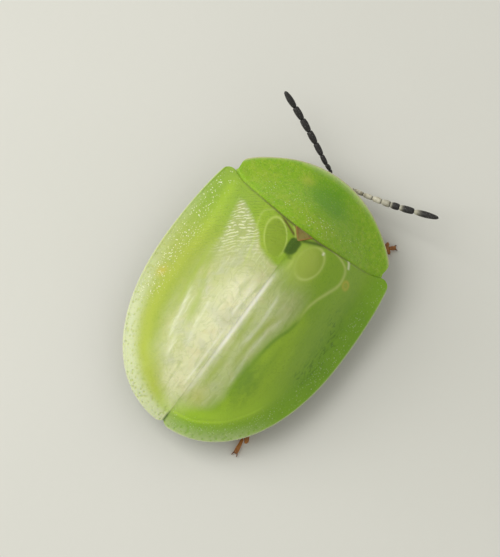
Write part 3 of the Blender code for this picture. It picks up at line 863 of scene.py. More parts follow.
def whitest_wings_and_sheen_mask(x, y):
    """Where the pale zone is whitest: along the seam, at the rear and a little on the right; folded
    wings show there, and at the rear the whiteness is also a painted sheen.
    """
    rear = 0.35 * ease(y, -2.2, -3.6)
    beside_seam = hump(x, -0.35, 0.62) * ease(y, 0.2, -0.9) * mix(1, 0.85, ease(y, -2.2, -3.2))
    right = 0.5 * ease(x, 0.0, 0.3) * ease(y, 0.4, -1.2) * mix(1, 0.4, ease(y, -2.8, -3.5))
    return max(rear, beside_seam, right)


def margin_sheen_mask(x, y):
    """A painted sheen on the left margin, whitish and thickest at the rear, and a fainter whitish tone
    at the right margin's rear.
    """
    if x > 0:
        return 0.45 * ease(rim_distance(x, y), 0.5, 0.0) * ease(y, -2.6, -4.2)
    film = mix(0.25, 1.0, ease(y, 0.4, -3.6))
    width = mix(0.35, 0.62, ease(y, 0.5, -2.0))
    return film * ease(rim_distance(x, y), width, 0.12) * ease(y, 2.2, 0.6)


def shade_mask(x, y):
    """Where a wing case is darker: on the right, most in a patch beside the folded wings' rear."""
    inside = ease(rim_distance(x, y), 0.55, 0.95)
    if x < 0:
        return 0.15 * inside * ease(-x, 1.2, 1.6)
    away = x - along(PALE_RIGHT, y)
    band = ease(away, -0.02, 0.2) * ease(y, -3.95, -3.3) * inside * ease(y, 1.2, 0.2)
    patch = 1 - ease(oval(x, y, (1.36, -2.86), (0.42, 0.85), 0.15), 0.45, 1.35)
    outer = 0.46 * ease(x, 1.9, 2.5) * ease(y, -2.6, -1.2) * ease(y, 1.9, 1.2)
    return clamp(max(0.15 * band, 0.62 * patch, outer))


def line_mask(x, y):
    """The bright yellow line between disc and margin, on the right only at the rear."""
    if x < 0:
        strength = mix(0.9, 0.6, ease(y, 0.2, 1.6))
        return yellow_left(x, y) * ease(y, 2.4, 1.9) * strength * (0.85 + 0.25 * wander(x, y, 2.5))
    glow = yellow_right(x, y) * mix(0.10, 0.75, ease(y, -1.8, -3.4))
    return max(glow, yellow_right_edge(x, y) * ease(y, -2.4, -3.2)) * ease(x, -0.1, 0.15)


def seam_line_and_highlight_mask(x, y):
    """The bright line along the seam, strongest in its middle, and a second one left of it: translucent
    cuticle with a painted highlight.
    """
    bright = hump(x, 0.07, 0.062) * ease(y, 0.3, -0.4) * mix(0.45, 1, ease(y, -3.2, -2.3))
    second = 0.5 * hump(x, -0.15, 0.035) * ease(y, -1.7, -2.5) * ease(y, -4.1, -3.6)
    return max(bright, second) * ease(y, -4.2, -3.8) * (0.85 + 0.25 * wander(x, y, 2))


def hollow_shade_mask(x, y):
    """Painted shade: the squarish dark hollow behind the scutellum, the painted shadow to its right and
    the rear notch.
    """
    ring = (abs((x - 0.02) / 0.17) ** 3 + abs((y - 1.05) / 0.33) ** 3) ** (1 / 3)
    spot = 1 - ease(ring + 0.4 * wander(x, y, 5), 0.75, 1.25)
    beside = hump(y, 1.30 + 0.58 * x, 0.075) * ease(x, 0.05, 0.2) * ease(x, 0.95, 0.65)
    notch = hump(x, 0.0, 0.03) * ease(y, -4.55, -4.8)
    return clamp(max(0.95 * spot, 0.85 * beside, 0.9 * notch))


def base_seam_and_shade_mask(x, y):
    """The brownish line where the cases meet the neck shield, and the crease left of the scutellum: the
    seam's own brown with painted shade in the crease.
    """
    thin = mix(0.06, 0.04, ease(abs(x), 0.7, 1.1))
    near = hump(base_line(x) - y, 0, thin) * mix(0.9, 0.4, ease(abs(x), 0.9, 1.8))
    left = hump(y, 1.32 - 0.49 * x, 0.05) * ease(-x, 0.1, 0.2) * ease(-x, 0.95, 0.6)
    return clamp(max(near * ease(abs(x), 2.5, 2.2), left))


def case_rim_mask(x, y):
    return hump(rim_distance(x, y), 0, 0.024) * (0.9 if x < 0 else 0.8)


def fold_edge_shadow_mask(x, y):
    """Painted shadow: the dark line along the edge of the right folded wing."""
    return fold_edge_shadow(x, y) * ease(y, -0.2, -0.7) * ease(y, -2.5, -1.6) if x > 0 else 0


def wrinkles_and_sheen_mask(x, y):
    """Fine cross ripples, plainest at the front of the disc: a relief, with painted highlights along
    their crests.
    """
    inside = ease(rim_distance(x, y), 0.7, 1.0)
    strength = mix(0.04, 1, ease(y - 0.65 * (x + 1.9), -0.9, 0.8))
    return inside * strength * (1 if x < 0 else 0.3 * ease(x, 0.5, 1.2))


def glint_speck_mask(x, y):
    """Where the small bright points lie, painted glints on the pits: most on the left margin."""
    inside = ease(rim_distance(x, y), 0.06, 0.16)
    if x < 0:
        return inside * glinting_band(x, y)
    return inside * ease(rim_distance(x, y), 0.7, 0.3) * 0.25


GREEN_STREAKS = (
    ((-1.85, -0.1), (-1.62, -0.9), (-1.40, -1.45), (-1.22, -2.2), (-1.10, -2.8)),
    ((-2.0, 0.4), (-1.87, -0.8), (-1.76, -1.68), (-1.66, -2.3)),
    ((0.28, -1.0), (0.34, -2.2), (0.36, -3.0), (0.32, -3.8)),
    ((1.0, -0.6), (0.78, -1.3), (0.70, -2.1), (0.70, -3.0)),
)
PALE_STREAKS = (
    ((-1.72, -1.3), (-1.62, -1.8), (-1.45, -2.5), (-1.30, -3.2)),
    ((-1.26, -2.7), (-1.12, -3.3), (-0.95, -3.7)),
    ((-1.04, -1.4), (-0.95, -2.15), (-0.82, -2.78), (-0.69, -3.2)),
    ((1.10, -0.7), (0.92, -1.28), (0.88, -1.7), (0.85, -2.1), (0.87, -2.5), (0.90, -2.9), (0.95, -3.4)),
    ((0.40, -0.11), (0.55, -0.5), (0.59, -1.1), (0.60, -1.6), (0.52, -2.3)),
    ((-0.24, -0.3), (-0.22, -1.2), (-0.26, -2.0)),
)


def streak(points, width):
    """A curve's mask that fades out at both ends."""
    near = curve_mask(width, *points)
    front, rear = points[0][1], points[-1][1]
    return lambda x, y: near(x, y) * ease(y, front, front - 0.5) * ease(y, rear, rear + 0.5)


green_streaks = [streak(points, 0.09) for points in GREEN_STREAKS]
pale_streaks = [streak(points, 0.055) for points in PALE_STREAKS]


def strongest(masks, x, y):
    return max(mask(x, y) for mask in masks)


def streak_mask(streaks, x, y):
    return strongest(streaks, x, y) * (0.7 + 0.4 * wander(x, y * 0.4, 2.5, 3))


def painted_sunlit_side_mask(x, y):
    """Painted light: the sunlit side of the wing cases, to the left and rear, painted yellower."""
    return ease(-x, -0.5, 0.9) * mix(0.32, 1, ease(y, 1.7, -0.7))


def humerus_mask(x, y):
    """The brownish ring on a shoulder's bulge, plain on the right only."""
    away = oval(abs(x), y, (1.97, 1.38), (0.8, 1))
    return max(0.6 * hump(away, 0, 0.06), hump(away, 0.11, 0.05)) * (0.9 if x > 0 else 0.15)


def spot_mask(x, y):
    """A faint orange patch in the left margin, and a fainter one at the folded wings' end."""
    margin = 0.75 * hump(oval(x, y, (-2.68, -1.36), (1, 1.3)), 0, 0.13)
    return max(margin, 0.30 * hump(oval(x, y, (0.38, -3.95), (1, 1)), 0, 0.26))


CASE_MASKS = {
    "painted_sunlit_side": painted_sunlit_side_mask,
    "margin_sheen": margin_sheen_mask,
    "green_streak": lambda x, y: streak_mask(green_streaks, x, y),
    "pale_streak": lambda x, y: streak_mask(pale_streaks, x, y),
    "fold_edge_shadow": fold_edge_shadow_mask,
    "glint": lambda x, y: strongest(glints, x, y),
    "brim": lambda x, y: 1 - ease(rim_distance(x, y), 0.4, 1.0),
    "shade": shade_mask,
    "light": lambda x, y: strongest(light_bands, x, y) if x > 0 else 0,
    "dashes": lambda x, y: dashed(x, y) if x > 0 else 0,
    "lobe": lobe_mask,
    "loop": loop_mask,
    "line": line_mask,
    "pale": wings_and_sheen_mask,
    "rear": whitest_wings_and_sheen_mask,
    "vein": vein_mask,
    "seam": seam_line_and_highlight_mask,
    "humerus": humerus_mask,
    "spot": spot_mask,
    "hollow_shade": hollow_shade_mask,
    "base": base_seam_and_shade_mask,
    "rim": case_rim_mask,
    "specks_and_glints": glint_speck_mask,
    "wrinkles_and_sheen": wrinkles_and_sheen_mask,
}


def case_relief(x, y):
    """Small forms on a wing case: its rim bead, the seam's slope and the shoulder's bulge."""
    bead = 0.02 * hump(rim_distance(x, y), 0.04, 0.03)
    seam = 0.008 * hump(x, 0, 0.05)
    shoulder = 0.06 * hump(hypot(abs(x) - 1.9, y - 1.45), 0, 0.35)
    base = -0.03 * hump(base_line(x) - y, 0, 0.04)
    waves = 0.006 * wander(x * 0.6, y * 1.8, 2.2) + 0.004 * wander(x, y, 5)
    return bead + seam + shoulder + base + waves


# The back's grids, the crease's place in a wing case's rows, and how rows crowd toward the rims
CASE_GRID = (250, 130)
SHIELD_GRID = (220, 104)
CREASE_SHARE = 0.66
CREASE_LIMIT = 0.8
RIM_CROWDING = 1.35
SHIELD_CROWDING = 1.2


def make_wing_case(side_name, finish, inner):
    side = SIDES[side_name]

    def place(u, v):
        edge_x, edge_y = case_edge(u)
        theta = atan2(edge_x, edge_y)
        far = hypot(edge_x, edge_y)
        crease = min(case_reach(theta) - case_brim(theta), far * CREASE_LIMIT)
        if v < CREASE_SHARE:
            radius = crease * v / CREASE_SHARE
        else:
            radius = mix(crease, far, 1 - ((1 - v) / (1 - CREASE_SHARE)) ** RIM_CROWDING)
        x, y = radius * sin(theta), radius * cos(theta)
        return side * (x + SEAM / 2), y, case_height(x, y) + case_relief(side * x, y)

    case = add_sheet(f"wing_case_{side_name}", sheet_from_grid(*CASE_GRID, place), finish)
    paint(case, CASE_MASKS)
    add_wall(case, CUTICLE, inner)
    dress(case, "wing_case", f"elytron_{side_name}")


SHIELD_HALF_ANGLE = radians(47.2)
SHIELD_CORNER_ANGLE = radians(41.6)
SHIELD_CORNER_SHARE = 0.14


def shield_relief(x, y):
    bead = 0.02 * hump(shield_rim_distance(x, y), 0.05, 0.035)
    base = -0.04 * hump(y - base_line(x), 0, 0.05)
    swell = 0.05 * hump(hypot(x, y - 3.0), 0, 0.7)
    return bead + base + swell + 0.005 * wander(x, y, 2.0)


def shield_edge_mask(x, y):
    """The pale translucent border, widest ahead of the head."""
    edge = shield_rim_distance(x, y)
    ahead = ease(abs(x - 0.1), 1.7, 0.6)
    return clamp(hump(edge, 0, 0.07) * 0.5 + 0.42 * ahead * ease(edge, mix(0.16, 0.30, ahead), 0.02))


def shield_shade_mask(x, y):
    """Where the dark head shows through, with paler rings round it."""
    ring = oval(x, y, (0.04, 3.40), (0.76, 0.68)) + 0.12 * wander(x, y, 3)
    rings = 0.06 * sin(ring * 20) * hump(ring, 0.8, 0.35)
    low = 0.40 * hump(oval(x, y, (0.46, 2.94), (1, 0.55)), 0, 0.8)
    return clamp(1 - ease(ring, 0.2, 1.4) + rings + low)


def shield_glow_mask(x, y):
    """Yellower patches: one before the head's shade, one by the left corner, one along the base."""
    ahead = hump(oval(x, y, (-0.74, 3.44), (1.3, 1)), 0, 0.19)
    aside = 0.35 * hump(oval(x, y, (-2.0, 2.75), (1.6, 1)), 0, 0.32)
    base = 0.3 * hump(y - base_line(x), 0.55, 0.2) * ease(abs(x + 0.3), 1.6, 0.6)
    return max(ahead, aside, base)


SHIELD_MASKS = {
    "brim": lambda x, y: 1 - ease(shield_rim_distance(x, y), 0.3, 1.0),
    "shade": shield_shade_mask,
    "glow": shield_glow_mask,
    "edge": shield_edge_mask,
    "rim": lambda x, y: 0.8 * hump(shield_rim_distance(x, y), 0, 0.03),
    # The brownish line at the shield's base, with painted shade where it meets the cases
    "base": lambda x, y: 0.6 * hump(y - base_line(x), 0, 0.035) * ease(abs(x), 2.6, 1.0),
    "specks_and_glints": lambda x, y: hump(y - base_line(x), 0.55, 0.38) * ease(abs(x + 0.1), 2.3, 0.9),
}


def make_shield(finish, inner):
    def place(u, v):
        side, share = (1, 2 - 2 * u) if u > 0.5 else (-1, 2 * u)
        roundness = 1.0
        if share < SHIELD_CORNER_SHARE:
            turn = pi / 2 * share / SHIELD_CORNER_SHARE
            roundness = sin(turn)
            theta = side * mix(SHIELD_CORNER_ANGLE, SHIELD_HALF_ANGLE, cos(turn))
        else:
            step = (share - SHIELD_CORNER_SHARE) / (1 - SHIELD_CORNER_SHARE)
            theta = side * mix(SHIELD_CORNER_ANGLE, 0, step)
        forward, bow = cos(theta), BASE_BOW * sin(theta) ** 2
        middle = BASE_Y + BASE_SEAM / 2
        rear = 2 * middle / (forward + sqrt(forward**2 - 4 * bow * middle))
        far = mix(rear, shield_reach(theta), roundness)
        radius = mix(rear, far, 1 - (1 - v) ** SHIELD_CROWDING)
        x, y = radius * sin(theta), radius * cos(theta)
        return x, y, shield_height(x, y) + shield_relief(x, y)

    shield = add_sheet("neck_shield_plate", sheet_from_grid(*SHIELD_GRID, place), finish)
    paint(shield, SHIELD_MASKS)
    add_wall(shield, CUTICLE, inner)
    dress(shield, "neck_shield", "pronotum")


SCUTELLUM_HALF_WIDTH = 0.31
SCUTELLUM_LENGTH = 0.38
SCUTELLUM_X = 0.035


def make_scutellum(finish):
    """A small rounded triangle that points to the rear, a little proud of the wing cases."""
    base = BASE_Y - BASE_SEAM / 2

    def place(point):
        level = sqrt(max(1e-6, 1 - point.z**2))
        across, back = point.x / level, point.y / level
        size = level**0.35
        share = clamp(0.5 - 0.5 * size * squared(back, 0.9))
        half = (SCUTELLUM_HALF_WIDTH * (1 - share) ** 0.9 + 0.012) * size
        x = SCUTELLUM_X + half * clamp(squared(across, 0.8) / max(0.05, 1 - back**2) ** 0.4, -1, 1)
        y = base - SCUTELLUM_LENGTH * share
        rise = 0.035 * squared(point.z, 0.5) if point.z > 0 else -0.07 * squared(-point.z, 0.5)
        return x, y, case_height(x, y) + 0.012 + rise

    bm = bmesh.new()
    add_lump(bm, 48, 28, place)
    plate = add_piece("scutellum_plate", bm, finish)

    def edge(x, y):
        share = clamp((base - y) / SCUTELLUM_LENGTH)
        half = SCUTELLUM_HALF_WIDTH * (1 - share)
        return (1 - ease(half - abs(x - SCUTELLUM_X), 0.0, 0.035)) * (0.8 if x > SCUTELLUM_X else 0.3)

    paint(plate, {"edge": edge, "dark": lambda x, y: 0.75 * ease(x + 0.3 * (y - 1.5), 0.02, -0.16)})
    dress(plate, "scutellum", "scutellum")


# Underside

BELLY_Z = 1.3
ABDOMEN_END_Y = -4.3
WAIST_Y = -0.75
NECK_Y = 1.95
COLLAR_END_Y = 2.56
UNDER_BACK = 0.80
KEEL_Z = 0.56
PLATE_GAP = 0.02
ABDOMEN_HALF_WIDTH = 2.2
BREAST_HALF_WIDTH = 2.1
COLLAR_HALF_WIDTH = 1.25
BREAST_KEEL_Y = 1.8
COLLAR_KEEL_Y = 2.5
ABDOMEN_RINGS = 5
GROOVE = 0.05
# Each groove's place on the middle line, and how far it slants forward to the side
BREAST_GROOVES = ((1.32, -0.12), (0.30, 0.06), (-0.42, 0.10))


def belly_height(x, y):
    """The underside's height, which dips at the abdomen."""
    return mix(BELLY_Z, 0.7 + 0.4 * (x / ABDOMEN_HALF_WIDTH) ** 2, ease(y, -1.35, -2.3))


def make_trunk(
    name, node, finish, rear, front, half_width, height, keel_front=None, rings=0, grooves=()
):
    """A piece of the trunk, with its rings of plates, its breastbone and the grooves beside it."""
    middle, half_length = (rear + front) / 2, (front - rear) / 2

    def place(point):
        x = half_width * squared(point.x, 0.75)
        y = middle + half_length * squared(point.y, 0.55 if point.y > 0 else 0.75)
        top = height(x, y) - UNDER_BACK
        while top < belly_height(x, y) + 0.2:
            x *= 0.995
            y = mix(middle, y, 0.995)
            top = height(x, y) - UNDER_BACK
        waist = min(1.75, mix(belly_height(x, y), top, 0.5))
        if point.z > 0:
            return x, y, mix(waist, top, squared(point.z, 0.6))
        z = mix(waist, belly_height(x, y), squared(-point.z, 0.6))
        if rings:
            at = (y - rear) / (front - rear) * rings
            z += GROOVE * hump(sin(pi * at), 0, 0.3) * ease(-point.z, 0.1, 0.5)
        for at_middle, slant in grooves:
            z += GROOVE * hump(y, at_middle + slant * abs(x), 0.05) * ease(-point.z, 0.1, 0.5)
        return x, y, z

    bm = bmesh.new()
    add_lump(bm, 180, 80, place)
    if keel_front is not None:

        def keel(point):
            y = (rear + keel_front) / 2 + (keel_front - rear) / 2 * squared(point.y, 0.4)
            z = mix(KEEL_Z, BELLY_Z + 0.2, 0.5 + 0.5 * squared(point.z, 0.4))
            waisted = mix(0.22, 0.34, abs(point.y) ** 1.5)
            return waisted * squared(point.x, 0.6), y, z

        add_lump(bm, 40, 24, keel)
    trunk = add_piece(name, bm, finish)

    def pale_side(x, y):
        if not rings:
            return 0.0
        reach = half_width * sqrt(max(0.05, 1 - ((y - middle) / half_length) ** 2))
        return ease(abs(x) / reach, 0.70, 0.88)

    paint(trunk, {"edge": pale_side})
    dress(trunk, "belly", node)


# Head

HEAD_Y = 3.22
HEAD_Z = 0.86
SKULL_WIDE = 0.58
SKULL_HIGH = 0.5
SKULL_AHEAD = 0.44
SKULL_BEHIND = 0.40
EYE_HALF = (0.35, 0.30, 0.36)
SOCKET_HALF = (0.085, 0.05, 0.085)
JAW = ((0.27, 3.36, 0.5), (0.22, 3.5, 0.38), (0.04, 3.56, 0.36))
# The upper and the lower palp: points, half widths at a joint's root and tip, and points around
PALPS = (
    (((0.22, 3.25, 0.42), (0.36, 3.36, 0.34), (0.42, 3.5, 0.3), (0.36, 3.6, 0.26)), (0.032, 0.05), 12),
    (((0.08, 3.3, 0.36), (0.13, 3.42, 0.3), (0.12, 3.5, 0.25)), (0.022, 0.036), 10),
)


def make_head(finish, mouth, lens):
    def skull(point):
        x = SKULL_WIDE * squared(point.x, 0.8)
        y = HEAD_Y + (SKULL_AHEAD if point.y > 0 else SKULL_BEHIND) * squared(point.y, 0.75)
        z = HEAD_Z + SKULL_HIGH * squared(point.z, 0.85)
        y -= 0.10 * max(0, -point.z) * max(0, point.y)
        slanted = abs(x) - 0.06 - 0.55 * (HEAD_Z + 0.12 - z)
        groove = GROOVE * hump(abs(x), 0, 0.03) * ease(z, HEAD_Z + 0.02, HEAD_Z + 0.2)
        groove += GROOVE * hump(slanted, 0, 0.03) * ease(z, HEAD_Z + 0.16, HEAD_Z)
        ridge = 0.035 * hump(abs(x), 0.42, 0.045) * hump(z, HEAD_Z + 0.05, 0.32)
        return x, y + (ridge - groove) * max(0, point.y), min(z, shield_height(x, y) - 0.6)

    bm = bmesh.new()
    add_lump(bm, 140, 100, skull)

    def clypeus(point):
        z = HEAD_Z - 0.1 + 0.24 * squared(point.z, 0.7)
        half = mix(0.30, 0.14, clamp((z - HEAD_Z + 0.34) / 0.48))
        return half * squared(point.x, 0.6), HEAD_Y + 0.36 + 0.09 * point.y - 0.1 * (HEAD_Z - z), z

    add_lump(bm, 32, 24, clypeus)
    for side in (-1, 1):

        def socket(point, side=side):
            ring = Vector((side * 0.2, HEAD_Y + 0.41, HEAD_Z + 0.12))
            wide, long, high = SOCKET_HALF
            return ring + Vector((wide * point.x, long * point.y, high * point.z))

        add_lump(bm, 28, 16, socket)
    dress(add_piece("head_capsule", bm, finish), "head", "head")

    bm = bmesh.new()

    def lip(point):
        wide = 0.2 * squared(point.x, 0.7)
        notch = 0.035 * hump(wide, 0, 0.06) * max(0, -point.z)
        return wide, HEAD_Y + 0.34 + 0.06 * point.y, HEAD_Z - 0.37 + 0.09 * point.z + notch

    add_lump(bm, 28, 16, lip)
    for side in (-1, 1):
        add_limb(bm, mirrored(JAW, side), 0, 2, taper((0.1, 0.045), (0.09, 0.03)), 14, 20)
        for route, ends, around in PALPS:
            for joint in range(len(route) - 1):
                palp = bead_sizes(*ends)
                add_limb(bm, mirrored(route, side), joint + 0.03, joint + 0.97, palp, around, around)
    dress(add_piece("mouthparts", bm, mouth), "head")

    for side_name, side in SIDES.items():

        def place(point, side=side):
            wide, long, high = EYE_HALF
            outward = max(0, side * point.x)
            bean = 0.07 * hump(point.z, 0.1, 0.35) * max(0, point.y) * (1 - outward) ** 0.5
            x = side * (0.44 + wide * outward)
            return x, HEAD_Y + 0.02 + long * point.y - bean, HEAD_Z + 0.03 + high * point.z

        bm = bmesh.new()
        add_lump(bm, 56, 40, place)
        dress(add_piece(f"eye_lens_{side_name}", bm, lens), "eye", f"eye_{side_name}")


# A limb's half width and height, by the share of its length


def bead_sizes(begin, end):
    def sizes(share):
        radius = mix(begin, end, ease(share, 0, 0.75))
        return radius, radius

    return sizes


def bow_sizes(begin, middle, end, flat=1.0):
    def sizes(share):
        radius = mix(begin, end, share) + (middle - mix(begin, end, 0.5)) * sin(pi * share)
        return radius, radius * flat

    return sizes


def taper(wide, high):
    """Sizes that run evenly from root to tip."""
    return lambda share: (mix(*wide, share), mix(*high, share))


def heart_sizes(wide):
    """Sizes of a foot's flat joint, which is widest near its far end."""
    return lambda share: (wide * mix(0.5, 1, ease(share, 0, 0.8)), mix(0.10, 0.07, share))


# Feelers

FEELER_STARTS = ((0.2, 3.62, 0.98), (0.26, 3.96, 0.82))
FEELER_BENDS = {
    "right": (
        (0.40, 4.30, 0.80), (0.90, 4.40, 0.95), (1.46, 4.52, 1.10), (2.02, 4.68, 1.25),
        (3.04, 5.02, 1.50),
    ),
    "left": (
        (-0.40, 4.36, 0.80), (-0.72, 4.50, 0.88), (-1.40, 4.80, 1.05), (-2.16, 5.09, 1.25),
        (-2.95, 5.34, 1.50),
    ),
}
FEELER_LENGTHS = (1.2, 0.7, 0.95, 0.98, 0.98, 0.9, 0.85, 0.85, 0.85, 0.85, 1.15)
FEELER_RADII = (0.085, 0.06, 0.056, 0.062, 0.068, 0.076, 0.092, 0.102, 0.106, 0.106, 0.098)
# The joint where a feeler turns dark, its pale bands beyond it and the dark gaps before it; the right
# feeler's whitish joints, which run further than the left's, are partly painted highlights
CLUB_STARTS = {"right": 7.6, "left": 2.0}
CLUB_BANDS = {"right": 0.7, "left": 0.0}
BEAD_GAPS = {"right": 0.65, "left": 0.3}


def make_feeler(side_name, bends, finish):
    points = mirrored(FEELER_STARTS, SIDES[side_name]) + mirrored(bends, 1)
    last = len(points) - 1
    club_start = CLUB_STARTS[side_name]
    whole = sum(FEELER_LENGTHS)
    bm = bmesh.new()
    layer = bm.verts.layers.float.new("club")
    at = 0
    for index, (length, radius) in enumerate(zip(FEELER_LENGTHS, FEELER_RADII)):
        start = last * at / whole
        at += length
        end = last * at / whole
        tip = index == len(FEELER_RADII) - 1
        bead = bow_sizes(radius * 0.68, radius, radius * (0.45 if tip else 0.84))
        verts = add_limb(bm, points, max(0, start - 0.02), min(end + 0.02, last), bead, 20, 18)
        near, far = settle(spline_point(points, start)), settle(spline_point(points, end))
        club = ease(index + 0.5, club_start - 0.5, club_start + 0.5)
        for vert in verts:
            along = (vert.co - near).dot(far - near) / (far - near).length_squared
            gap = BEAD_GAPS[side_name] * (1 - club) * hump(along, 1.0, 0.14)
            vert[layer] = club * (1 - CLUB_BANDS[side_name] * hump(along, 0.05, 0.16)) + gap
    feeler = add_piece(f"feeler_{side_name}", bm, finish)
    dress(feeler, "antenna", f"antenna_{side_name}")


# Legs: roots of each pair, and each leg's hip, knee, ankle and toe

LEG_ROOTS = {"front": (0.62, 2.35, 0.86), "middle": (0.62, 0.80, 0.86), "hind": (0.62, -0.30, 0.86)}
LEG_BENDS = {
    "front_right": ((1.05, 2.56, 0.80), (1.66, 3.02, 0.80), (2.05, 3.40, 0.36), (2.55, 3.88, 0.13)),
    "front_left": ((1.05, 2.50, 0.80), (1.72, 2.70, 0.80), (2.04, 3.05, 0.36), (1.74, 3.66, 0.13)),
    "middle_right": ((1.12, 0.86, 0.80), (2.08, 1.18, 0.82), (2.52, 0.72, 0.36), (2.72, -0.10, 0.13)),
    "middle_left": ((1.12, 0.84, 0.80), (2.05, 1.02, 0.82), (2.45, 0.52, 0.36), (2.62, -0.30, 0.13)),
    "hind_right": ((1.18, -0.56, 0.80), (2.02, -1.55, 0.82), (2.10, -2.74, 0.36), (2.32, -4.22, 0.13)),
    "hind_left": ((1.15, -0.58, 0.80), (1.92, -1.55, 0.82), (2.00, -2.66, 0.36), (1.92, -3.80, 0.13)),
}

# Lengths along a foot, as shares of the way from ankle to toe
ANKLE = 3.0
FOOT_STEP = 0.23
FOOT_JOINT = 0.30
LAST_JOINT = 0.66
FOOT_WIDTHS = (0.13, 0.17, 0.20)
FOOT_CLEFTS = (0.15, 0.15, 0.45)
FOOT_SINK = 0.05
CLAW_SINK = 0.02
# A claw's points from the toe: ahead, aside and above the floor
CLAW = ((-0.08, 0.02, 0.12), (0.02, 0.07, 0.13), (0.06, 0.08, 0.03))


def make_leg(place_name, bends, finish, horn):
    pair, side_name = place_name.split("_")
    points = mirrored((LEG_ROOTS[pair], *bends), SIDES[side_name])
    sizes = {
        "coxa": bow_sizes(0.22, 0.27, 0.17),
        "femur": bow_sizes(0.15, 0.25, 0.14, 0.85),
        "tibia": bow_sizes(0.10, 0.13, 0.17),
    }
    for index, part in enumerate(sizes):
        bm = bmesh.new()
        add_limb(bm, points, index + 0.01, index + 1.02, sizes[part], 28, 30)
        if part == "coxa":
            add_limb(bm, points, 0.85, 1.12, bow_sizes(0.14, 0.17, 0.13), 24, 14, 0.3)
        dress(add_piece(f"{part}_{place_name}_shell", bm, finish), "leg", f"{part}_{place_name}")

    bm = bmesh.new()
    for joint, (wide, cleft) in enumerate(zip(FOOT_WIDTHS, FOOT_CLEFTS)):
        near = joint * FOOT_STEP
        ends = (ANKLE + near, ANKLE + (near + FOOT_JOINT))
        add_foot_joint(bm, points, *ends, heart_sizes(wide), cleft)
    add_limb(bm, points, ANKLE + LAST_JOINT, ANKLE + 1, bead_sizes(0.045, 0.07), 16, 16)
    stand_on_floor(bm, FOOT_SINK)
    dress(add_piece(f"tarsus_{place_name}_shell", bm, finish), "leg", f"tarsus_{place_name}")

    bm = bmesh.new()
    toe = points[4]
    heading = (toe - points[3]).normalized()
    heading.z = 0
    across = level_across(heading)
    for way in (-1, 1):
        route = [toe + heading * ahead + across * way * aside for ahead, aside, _ in CLAW]
        for point, (_, _, height) in zip(route, CLAW):
            point.z = height
        add_limb(bm, route, 0, 2, taper((0.03, 0.008), (0.03, 0.008)), 12, 16)
    stand_on_floor(bm, CLAW_SINK)
    dress(add_piece(f"claws_{place_name}", bm, horn), "leg")


def stand_on_floor(bm, sink):
    """Lowers the shape by sink and flattens what would pass the floor."""
    for vert in bm.verts:
        vert.co.z = max(vert.co.z - sink * MM, 0)


def add_foot_joint(bm, points, start, end, sizes, cleft):
    """A flat, heart-shaped joint of a foot, cleft at its far end."""
    verts = add_limb(bm, points, start, end, sizes, 28, 20, 0.3)
    near, far = settle(spline_point(points, start)), settle(spline_point(points, end))
    heading = (far - near).normalized()
    length = (far - near).length
    across = level_across(heading)
    for vert in verts:
        along = (vert.co - near).dot(heading) / length
        aside = abs((vert.co - near).dot(across)) / MM
        vert.co -= heading * length * cleft * ease(along, 0.5, 1) * hump(aside, 0, 0.07)


# Stage

CLIP_NEAR = 0.001
CLIP_FAR = 5
FLOOR_HALF = 1.5
SKY_COLOUR = (1.0, 0.98, 0.88, 1)
SKY_STRENGTH = 0.50
# The lamp's direction, distance, size, power and colour
KEY_LAMP = ((-0.70, -0.30, 0.65), 90, (70, 110), 0.067, (1.0, 0.98, 0.91))


def make_camera():
    upward = Vector((0, sin(VIEW_ELEVATION), cos(VIEW_ELEVATION)))
    ahead = Vector((0, cos(VIEW_ELEVATION), -sin(VIEW_ELEVATION)))
    across = Vector((1, 0, 0))
    c, s = cos(VIEW_ROLL), sin(VIEW_ROLL)
    turn = Matrix((across * c + upward * s, upward * c - across * s, -ahead)).transposed().to_4x4()
    distance = VIEW_LENS * VIEW_HEIGHT / VIEW_SENSOR
    data = bpy.data.cameras.new("camera")
    data.lens = VIEW_LENS
    data.sensor_width = VIEW_SENSOR
    data.clip_start = CLIP_NEAR
    data.clip_end = CLIP_FAR
    camera = place_object("camera", data)
    camera.matrix_world = Matrix.Translation(settle(VIEW_TARGET) - ahead * distance * MM) @ turn
    bpy.context.scene.camera = camera


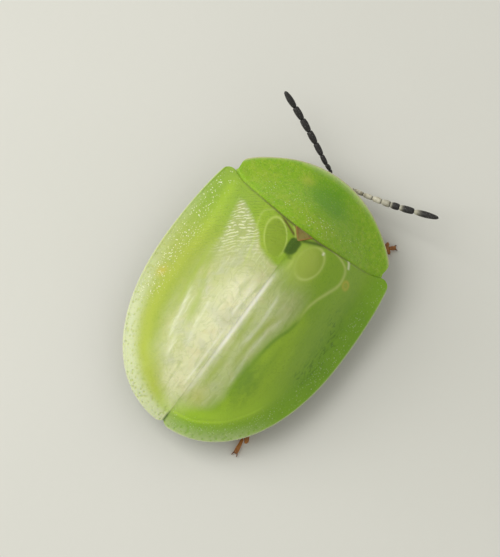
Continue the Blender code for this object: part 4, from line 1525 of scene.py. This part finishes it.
def add_lamp(name, toward, distance, size, power, colour):
    """A square soft lamp that lies toward a direction and faces the beetle."""
    data = bpy.data.lights.new(name, "AREA")
    data.shape = "RECTANGLE"
    data.size, data.size_y = [side * MM for side in size]
    data.energy = power
    data.color = colour
    lamp = place_object(name, data)
    away = Vector(toward).normalized()
    lamp.location = settle((0, 0, 1)) + away * distance * MM
    lamp.rotation_mode = "QUATERNION"
    lamp.rotation_quaternion = away.to_track_quat("Z", "Y")


def make_stage():
    bm = bmesh.new()
    bmesh.ops.create_grid(bm, x_segments=4, y_segments=4, size=FLOOR_HALF)
    bm.normal_update()
    floor = add_sheet("floor", bm, floor_finish())
    world = bpy.data.worlds.new("soft_room")
    world.use_nodes = True
    sky = world.node_tree.nodes["Background"]
    sky.inputs["Color"].default_value = SKY_COLOUR
    sky.inputs["Strength"].default_value = SKY_STRENGTH
    bpy.context.scene.world = world
    bpy.context.scene.view_settings.view_transform = "Standard"
    add_lamp("key", *KEY_LAMP)


def main():
    make_camera()
    make_stage()
    case_green = wing_case_finish()
    inner = inner_finish()
    make_wing_case("right", case_green, inner)
    make_wing_case("left", case_green, inner)
    make_shield(neck_shield_finish(), inner)
    make_scutellum(scutellum_finish())
    belly = belly_finish()
    size = (ABDOMEN_END_Y, WAIST_Y - PLATE_GAP, ABDOMEN_HALF_WIDTH)
    make_trunk("abdomen_plates", "abdomen", belly, *size, case_height, rings=ABDOMEN_RINGS)
    size = (WAIST_Y + PLATE_GAP, NECK_Y - PLATE_GAP, BREAST_HALF_WIDTH)
    keel = {"keel_front": BREAST_KEEL_Y, "grooves": BREAST_GROOVES}
    make_trunk("breast_plates", "thorax", belly, *size, case_height, **keel)
    size = (NECK_Y + PLATE_GAP, COLLAR_END_Y, COLLAR_HALF_WIDTH)
    make_trunk("collar_plates", "prothorax", belly, *size, shield_height, COLLAR_KEEL_Y)
    make_head(head_finish(), mouth_finish(), eye_finish())
    feeler = feeler_finish()
    for side_name, bends in FEELER_BENDS.items():
        make_feeler(side_name, bends, feeler)
    leg, horn = leg_finish(), claw_finish()
    for place_name, bends in LEG_BENDS.items():
        make_leg(place_name, bends, leg, horn)


main()
